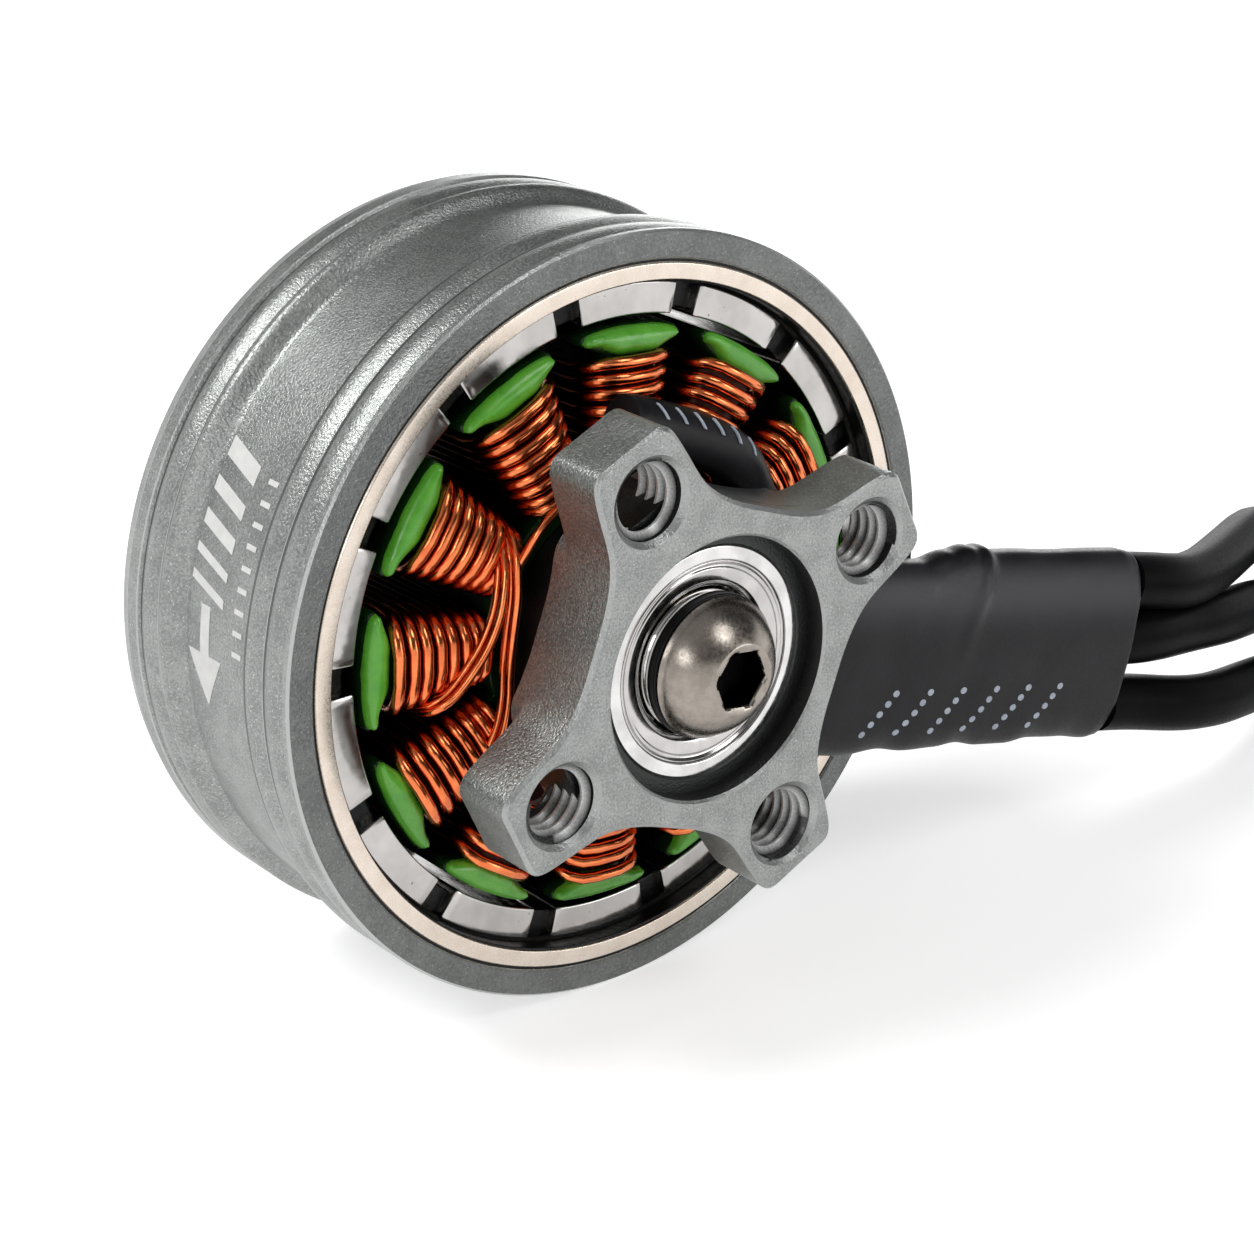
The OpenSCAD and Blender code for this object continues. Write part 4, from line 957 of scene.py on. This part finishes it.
def shrinkSection(s, inset, at=None):
    high, low = valueAt(shrink["upper"], s), valueAt(shrink["lower"], s)
    deepHalf, wideHalf, power = shrink["thickness"] / 2 - inset, shrink["width"] / 2 - inset, 2 / shrink["fullness"]
    (place, height, length, slant), (foldStart, foldRise) = shrink["fold"], shrink["foldAcross"]
    (dip, dipStep), (rippleHeight, close) = shrink["dips"], shrink["ripple"]
    ring = []
    for i in range(shrink["around"]):
        a = 2 * math.pi * i / shrink["around"]
        c, d = math.cos(a), math.sin(a)
        across = wideHalf * signedPower(c, power)
        lobes = 1 - dip * (1 - math.cos(2 * math.pi * across / dipStep)) / 2 * min(1, s / 10)
        upperPart = clamp((across - foldStart) / foldRise)
        across += (high if c > 0 else -low) * min(1.0, abs(c) * 1.5) ** 2
        bump = height * math.exp(-((s - place - slant * (across - 3)) / length) ** 2) * upperPart ** 2
        deep = Vector((0, deepHalf * signedPower(d, power) * lobes, 0))
        ripple = noise.noise(Vector((s * close, across * close, d * 0.7))) * rippleHeight
        ripple *= min(1.0, (tubeLength - s) / 2 + 0.15)
        out = (leadAcross * signedPower(c, 2 - power) / wideHalf
               + Vector((0, signedPower(d, 2 - power) / deepHalf, 0))).normalized()
        ring.append(shrinkStart + (leadAlong * (s if at is None else at) + leadAcross * across) * mm + deep * mm
                    + out * (ripple + bump) * mm)
    return ring


# From the closed start along the tube, around its lip and a little way back inside
shrinkRings = [shrinkSection(0.0, 0.35), shrinkSection(0.02, 0.12)]
shrinkRings += [shrinkSection((tubeLength - 0.12) * i / shrink["steps"], 0.0) for i in range(1, shrink["steps"] + 1)]
shrinkRings += [shrinkSection(tubeLength - 0.03, 0.04), shrinkSection(tubeLength, 0.1),
                shrinkSection(tubeLength - 0.02, shrink["wall"]), shrinkSection(tubeLength, 0.2, tubeLength - 0.4),
                shrinkSection(tubeLength, 0.26, tubeLength - shrink["lip"])]
shrinkMesh = loftMesh("shrinkTube", shrinkRings, degrees=60)
highlightAt, highlightWidth = shrink["highlightBand"]
# Painted highlight: a pale band along the upper part of the tube
markMesh(shrinkMesh, "edge", "POINT", [
    math.exp(-(((v.co - shrinkStart).dot(leadAcross) / mm - highlightAt) / highlightWidth) ** 2)
    for v in shrinkMesh.vertices])
addPiece("shrinkTube", shrinkMesh, "sleeve", "stator", "shrink_tube")

# Marks: slanted rows of dots on the shrink tube
dots = {"size": 0.3, "stretch": 1.2, "lifts": (-0.05, 0.02), "first": 4.4, "rowStep": 2.0, "rows": 6, "dotStep": 0.44,
        "perRow": 5, "slant": -0.32, "across": -1.45}


# The point on the front of the tube at a distance along it and across it
def shrinkFront(s, across):
    ring = [p for p in shrinkSection(s, 0.0) if p.y < shrinkStart.y]
    ring.sort(key=lambda p: abs((p - shrinkStart).dot(leadAcross) / mm - across))
    a, b = ring[0], ring[1]
    first, second = ((p - shrinkStart).dot(leadAcross) / mm for p in (a, b))
    return a.lerp(b, (across - first) / (second - first))


dotMesh = bmesh.new()
for row in range(dots["rows"]):
    for k in range(dots["perRow"]):
        s, across = dots["first"] + row * dots["rowStep"] + k * dots["slant"], dots["across"] - k * dots["dotStep"]
        point = shrinkFront(s, across)
        ahead = shrinkFront(s + 0.2, across) - point
        normal = ahead.cross(shrinkFront(s, across + 0.2) - point).normalized()
        normal = normal if normal.y < 0 else -normal
        side = normal.cross(ahead.normalized()).normalized()
        ahead, radius, stretch = side.cross(normal), dots["size"] / 2, dots["stretch"]
        addLoft(dotMesh, [[
            point + (normal * lift + ahead * radius * math.cos(a) * stretch + side * radius * math.sin(a)) * mm
            for a in (math.pi * i / 5 for i in range(10))] for lift in dots["lifts"]])
addPiece("tubeDots", closedMesh("tubeDots", dotMesh, 60), "dots", "stator")
print("sleeves and shrink tube made")

# Flux ring, magnets with round edges, the glue between them, a black liner on the ring's inner wall as painted shade,
# and a black ring in the mouth of the gap before the bell
rotor = {"ringInner": 13.3, "ringOuter": 14.0, "front": 5.55, "rear": 14.3, "magnets": 14, "phase": 4.4, "arc": 20.6,
         "inner": 11.85, "outer": 13.1, "magnetFront": 6.3, "magnetRear": 14.1, "edge": 0.09, "uneven": 0.08,
         # glue between the magnets: overlap in degrees, inner and outer radius, front, rear, edge
         "glue": (0.4, 12.05, 13.32, 6.75, 14.0, 0.1), "glueLumps": (0.1, 0.5),
         "ringShadeLiner": [(13.22, 5.72), (13.33, 5.68), (13.33, 13.9), (13.06, 13.9), (13.06, 6.5), (13.2, 6.38)],
         "rimBlackRing": (13.94, 14.11, 5.63, 5.78)}
addTurned("fluxRing", [
    (rotor["ringInner"], rotor["front"] + 0.02), (rotor["ringOuter"] - 0.09, rotor["front"]),
    (rotor["ringOuter"], rotor["front"] + 0.13), (rotor["ringOuter"], rotor["rear"]),
    (rotor["ringInner"], rotor["rear"])], 0.04, "ring", "rotor", "flux_ring", segments=240)


def arcBlock(start, end, inner, outer, front, rear, edge, steps):
    cut = math.degrees(edge / outer)
    stations = [(start, edge), (start + 0.3 * cut, 0.35 * edge), (start + cut, 0.0)]
    stations += [(mix(start + cut, end - cut, i / steps), 0.0) for i in range(1, steps)]
    stations += [(end - cut, 0.0), (end - 0.3 * cut, 0.35 * edge), (end, edge)]
    rings = []
    for angle, inset in stations:
        wall = roundCorners(rectangle(inner + inset, outer - inset, front + inset, rear - inset), edge)
        rings.append([aroundShaft(r, angle, depth) for r, depth in wall])
    return rings


magnetStep = 360 / rotor["magnets"]
for number in range(1, rotor["magnets"] + 1):
    middle = rotor["phase"] + magnetStep * (number - 1)
    front = rotor["magnetFront"] + random.Random(300 + number).uniform(0, rotor["uneven"])
    block = arcBlock(middle - rotor["arc"] / 2, middle + rotor["arc"] / 2, rotor["inner"], rotor["outer"], front,
                     rotor["magnetRear"], rotor["edge"], 14)
    addPiece(f"magnet{number:02d}", loftMesh(f"magnet{number:02d}", block), "magnet", "rotor", f"magnet_{number:02d}")
overlap, *gluePlace = rotor["glue"]
gapStart = rotor["phase"] + rotor["arc"] / 2 - overlap
oneGlue = loftMesh("oneGlue", arcBlock(gapStart, gapStart + magnetStep - rotor["arc"] + 2 * overlap, *gluePlace, 4))
addCopies("magnetGlue", oneGlue, rotor["magnets"], "glue", "rotor", unevenness=rotor["glueLumps"][0],
          lumpSize=rotor["glueLumps"][1])
# A black liner on the ring's inner wall in front of the magnets: painted shade
addTurned("ringShadeLiner", rotor["ringShadeLiner"], 0.03, "glue", "rotor")
# A black ring in the mouth of the gap between the flux ring and the bell
addTurned("rimBlackRing", rectangle(*rotor["rimBlackRing"]), 0.02, "glue", "rotor", segments=240)
print("ring and magnets made")

# Bell: the CAD shape under an outer wall with finer ridges; its narrow corners and bevels get painted highlights, its
# grooves and front face painted shade
# faceShade and groove give the shares of painted shade on the front face and in the grooves
bell = {"rim": 15.17, "waist": 14.55, "bore": 14.075, "front": 5.55, "rear": 17.1, "strip": 0.45, "frontRidge": 1.4,
        "rearRidge": 1.25, "rise": 0.15, "slope": 0.9, "foot": 0.45, "land": 0.7, "chamferLong": 0.6,
        "chamferDeep": 0.2, "corner": 0.05, "cover": 0.06, "segments": 240, "faceShade": 0.55, "groove": -0.75,
        "rearInside": [(14.88, 0), (14.3, -0.02), (14.3, -2.5), (14.075, -2.8)],
        # the CAD bell is sunk outside these radii, inwards and backwards
        "sunkWall": 14.1, "sunkFront": 14.0, "bevelWidth": 0.3}


# Points of the outer wall from front to rear: radius, depth, and a mark for the wall from there on, which is 1 for
# a painted highlight on a corner and below 0 for painted shade in a groove
def bellOutline():
    rim, waist, rise, corner, front = bell["rim"], bell["waist"], bell["rise"], bell["corner"], bell["front"]

    def ridge(start, width, steps, upTo):
        return [(rim - rise + rise * math.sin(math.pi * i / steps), start + width * i / steps,
                 bell["groove"] if i > upTo - 3 else 0) for i in range(upTo + 1)]

    ridges = front + bell["strip"]
    second = ridges + bell["frontRidge"]
    waistStart = second + bell["frontRidge"]
    chamfer = bell["rear"] - bell["chamferLong"]
    rearLand = chamfer - bell["land"]
    rearRidge = rearLand - bell["rearRidge"]
    slopeEnd = rearRidge - bell["foot"]
    points = [(bell["bore"] + 0.06, front, 0), (rim - 0.1, front, 1), (rim, front + 0.1, 0), (rim, ridges - 0.13, 1),
              (rim - 0.05, ridges - 0.08, 0)]
    points += ridge(ridges, bell["frontRidge"] - corner, 16, 15)
    points += [(rim - rise, second - corner, 1)]
    points += ridge(second, bell["frontRidge"], 16, 12)
    points += [(waist + 0.2, waistStart - 0.12, 0), (waist + 0.035, waistStart - 0.03, 1),
               (waist, waistStart + 0.03, 0)]
    sag = [1 - math.cos(math.pi * i / 10) for i in range(11)]
    points += [(waist + (rim - waist) * sag[i] / 2, slopeEnd - bell["slope"] * (1 - i / 10), 0) for i in range(11)]
    points += [(rim - rise * sag[i], slopeEnd + (bell["foot"] - corner) * i / 5, bell["groove"] if i > 2 else 0)
               for i in range(1, 5)]
    points += [(rim - rise, rearRidge - corner, 1)]
    points += ridge(rearRidge, bell["rearRidge"] - corner, 16, 15)
    points += [(rim - rise, rearLand - corner, 0), (rim - 0.05, rearLand + 0.02, 1), (rim, rearLand + 0.07, 0),
               (rim, chamfer - 0.03, 1), (rim - 0.02, chamfer + 0.03, 0),
               (rim - bell["chamferDeep"], bell["rear"], 0)]
    return points + [(r, bell["rear"] + d, 0) for r, d in bell["rearInside"]] + [(bell["bore"], front + 0.1, 0)]


def makeBellWall():
    outline = bellOutline()
    mesh = loftMesh("bellWall", turnedRings([p[:2] for p in outline], bell["segments"]), looped=True, degrees=24)
    marks = [outline[i % len(outline)][2] for i in range(len(mesh.polygons))]
    # Painted highlights on the corners; painted shade on the front face and in the grooves
    markMesh(mesh, "edge", "FACE", [max(0.0, m) for m in marks])
    markMesh(mesh, "paintedShade", "FACE", [bell["faceShade"] if f.normal.y < -0.9 else max(0.0, -m)
                                      for f, m in zip(mesh.polygons, marks)])
    return mesh


# A copy of the CAD bell with shared corners, smooth faces and painted highlights on its bevels, a little under the
# outer wall
def makeInnerBell():
    bm = bmesh.new()
    bm.from_mesh(nodes["bell"].data)
    bmesh.ops.remove_doubles(bm, verts=bm.verts, dist=2e-7)
    edge = bm.faces.layers.float.new("edge")
    for face in bm.faces:
        depths = [v.co.y for v in face.verts]
        face[edge] = float(0.55 < abs(face.normal.y) < 0.85 and max(depths) - min(depths) < bell["bevelWidth"] * mm)
    mesh = finishMesh("bell", bm, 30)
    for vertex in mesh.vertices:
        across = Vector((vertex.co.x, 0, vertex.co.z))
        if across.length > bell["sunkWall"] * mm:
            vertex.co -= across.normalized() * bell["cover"] * mm
        if across.length > bell["sunkFront"] * mm and vertex.co.y < (bell["front"] + 0.05) * mm:
            vertex.co.y += bell["cover"] * mm
    return mesh


addPiece("bell", makeInnerBell(), "anodised", "rotor", "bell")
addPiece("bellWall", makeBellWall(), "anodised", "rotor")

# Marks on the waist: a row of slanted bars with an arrow, and a row of ticks, as (angle, depth)
marks = {"radius": 14.553, "lifts": (-0.03, 0.012), "barDepths": (10.9, 13.1), "slant": 2.6,
         "bars": [(166.5, 3.0), (172.5, 2.2), (177.5, 2.2), (182.5, 1.4), (186.5, 1.4)],
         "arrow": [[(191.0, 11.7), (198.5, 11.7), (198.5, 12.3), (191.0, 12.3)],
                   [(198.5, 10.9), (206.5, 12.0), (198.5, 13.1)]],
         "ticks": (170.0, 3.2, 9, 0.8), "tickDepths": (9.55, 10.15)}


# A thin patch on the waist from its corners
def addPatch(bm, corners):
    outline = []
    for a, b in zip(corners, corners[1:] + corners[:1]):
        steps = max(1, math.ceil(abs(b[0] - a[0])))
        outline += [(mix(a[0], b[0], i / steps), mix(a[1], b[1], i / steps)) for i in range(steps)]
    addLoft(bm, [[aroundShaft(marks["radius"] + lift, a, d) for a, d in outline] for lift in marks["lifts"]])


patches = bmesh.new()
low, high = marks["barDepths"]
for angle, width in marks["bars"]:
    addPatch(patches, [(angle + marks["slant"], low), (angle + marks["slant"] + width, low), (angle + width, high),
                       (angle, high)])
for corners in marks["arrow"]:
    addPatch(patches, corners)
start, step, count, width = marks["ticks"]
for i in range(count):
    addPatch(patches, rectangle(start + step * i, start + step * i + width, *marks["tickDepths"]))
addPiece("waistMarks", closedMesh("waistMarks", patches, 60), "print", "rotor")
print("bell made")

# Floor, lamps and world
studio = {
    "floorColor": 0.8,
    "floorHalf": 3000,
    "backdropGlow": 0.55,
    # the room is bright on this side and dark on the other, blending between two shares of the way round
    "brightSide": (-0.66, 0.3, 0.68),
    "brightness": (0.06, 0.5),
    "blend": (0.2, 0.9),
    # up to these heights over the horizon the camera, metal and glass see a white backdrop
    "backdropTop": (0.2, 0.3),
    # where each lamp shines from, its width in degrees and its strength
    "lamps": [((-0.52, 0.32, 0.77), 22, 1.6), ((-0.8, -0.45, 0.4), 20, 0.35), ((0.25, -0.62, 0.75), 24, 0.6),
              ((0.72, 0.68, 0.14), 24, 0.5), ((0.58, -0.78, 0.2), 24, 0.45)],
}


# 1 for the rays that show a background: those of the camera, and through gloss and glass
def backgroundRays(tree):
    rays = addNode(tree, "ShaderNodeLightPath").outputs
    seen = addMath(tree, "MAXIMUM", rays["Is Camera Ray"], rays["Is Glossy Ray"])
    return addMath(tree, "MAXIMUM", seen, rays["Is Transmission Ray"])


def makeFloor():
    mesh = bpy.data.meshes.new("floor")
    half = studio["floorHalf"] * mm
    mesh.from_pydata([(x, y, floorHeight) for x, y in rectangle(-half, half, -half, half)], [], [(0, 1, 2, 3)])
    material = bpy.data.materials.new("paleFloor")
    material.use_nodes = True
    tree = material.node_tree
    fill(tree, tree.nodes["Principled BSDF"], {
        "Roughness": 0.9, "Specular IOR Level": 0.0, "Base Color": (*[studio["floorColor"]] * 3, 1),
        "Emission Color": (1, 1, 1, 1),
        "Emission Strength": addMath(tree, "MULTIPLY", backgroundRays(tree), studio["backdropGlow"])})
    mesh.materials.append(material)
    addObject("floor", mesh)


def makeWorld():
    world = bpy.data.worlds.new("studio")
    bpy.context.scene.world = world
    world.use_nodes = True
    tree = world.node_tree
    around = addNode(tree, "ShaderNodeTexCoord").outputs["Generated"]
    side = addNode(tree, "ShaderNodeVectorMath", {0: around, 1: Vector(studio["brightSide"]).normalized()},
                   operation="DOT_PRODUCT").outputs["Value"]
    height = addNode(tree, "ShaderNodeSeparateXYZ", {0: around}).outputs["Z"]
    backdrop = addMath(tree, "MULTIPLY", mapValue(tree, height, 1, 0, *studio["backdropTop"]), backgroundRays(tree))
    strength = mapValue(tree, side, *studio["brightness"], *studio["blend"])
    fill(tree, tree.nodes["Background"], {"Color": (1, 1, 1, 1),
                                          "Strength": addMath(tree, "MAXIMUM", strength, backdrop)})


makeFloor()
makeWorld()
for number, (place, width, strength) in enumerate(studio["lamps"]):
    lampData = bpy.data.lights.new(f"lamp{number}", "SUN")
    lampData.angle = math.radians(width)
    lampData.energy = strength
    lamp = addObject(f"lamp{number}", lampData)
    lamp.rotation_euler = (-Vector(place)).to_track_quat("-Z", "Y").to_euler()
bpy.context.scene.view_settings.view_transform = "Standard"
print("floor, lamps and world made")

# The ball cages stay as the CAD has them
for side in bearing["fronts"]:
    cage = nodes[side + "_bearing_cage"].data
    cage.materials.clear()
    cage.materials.append(finishes["brass"])
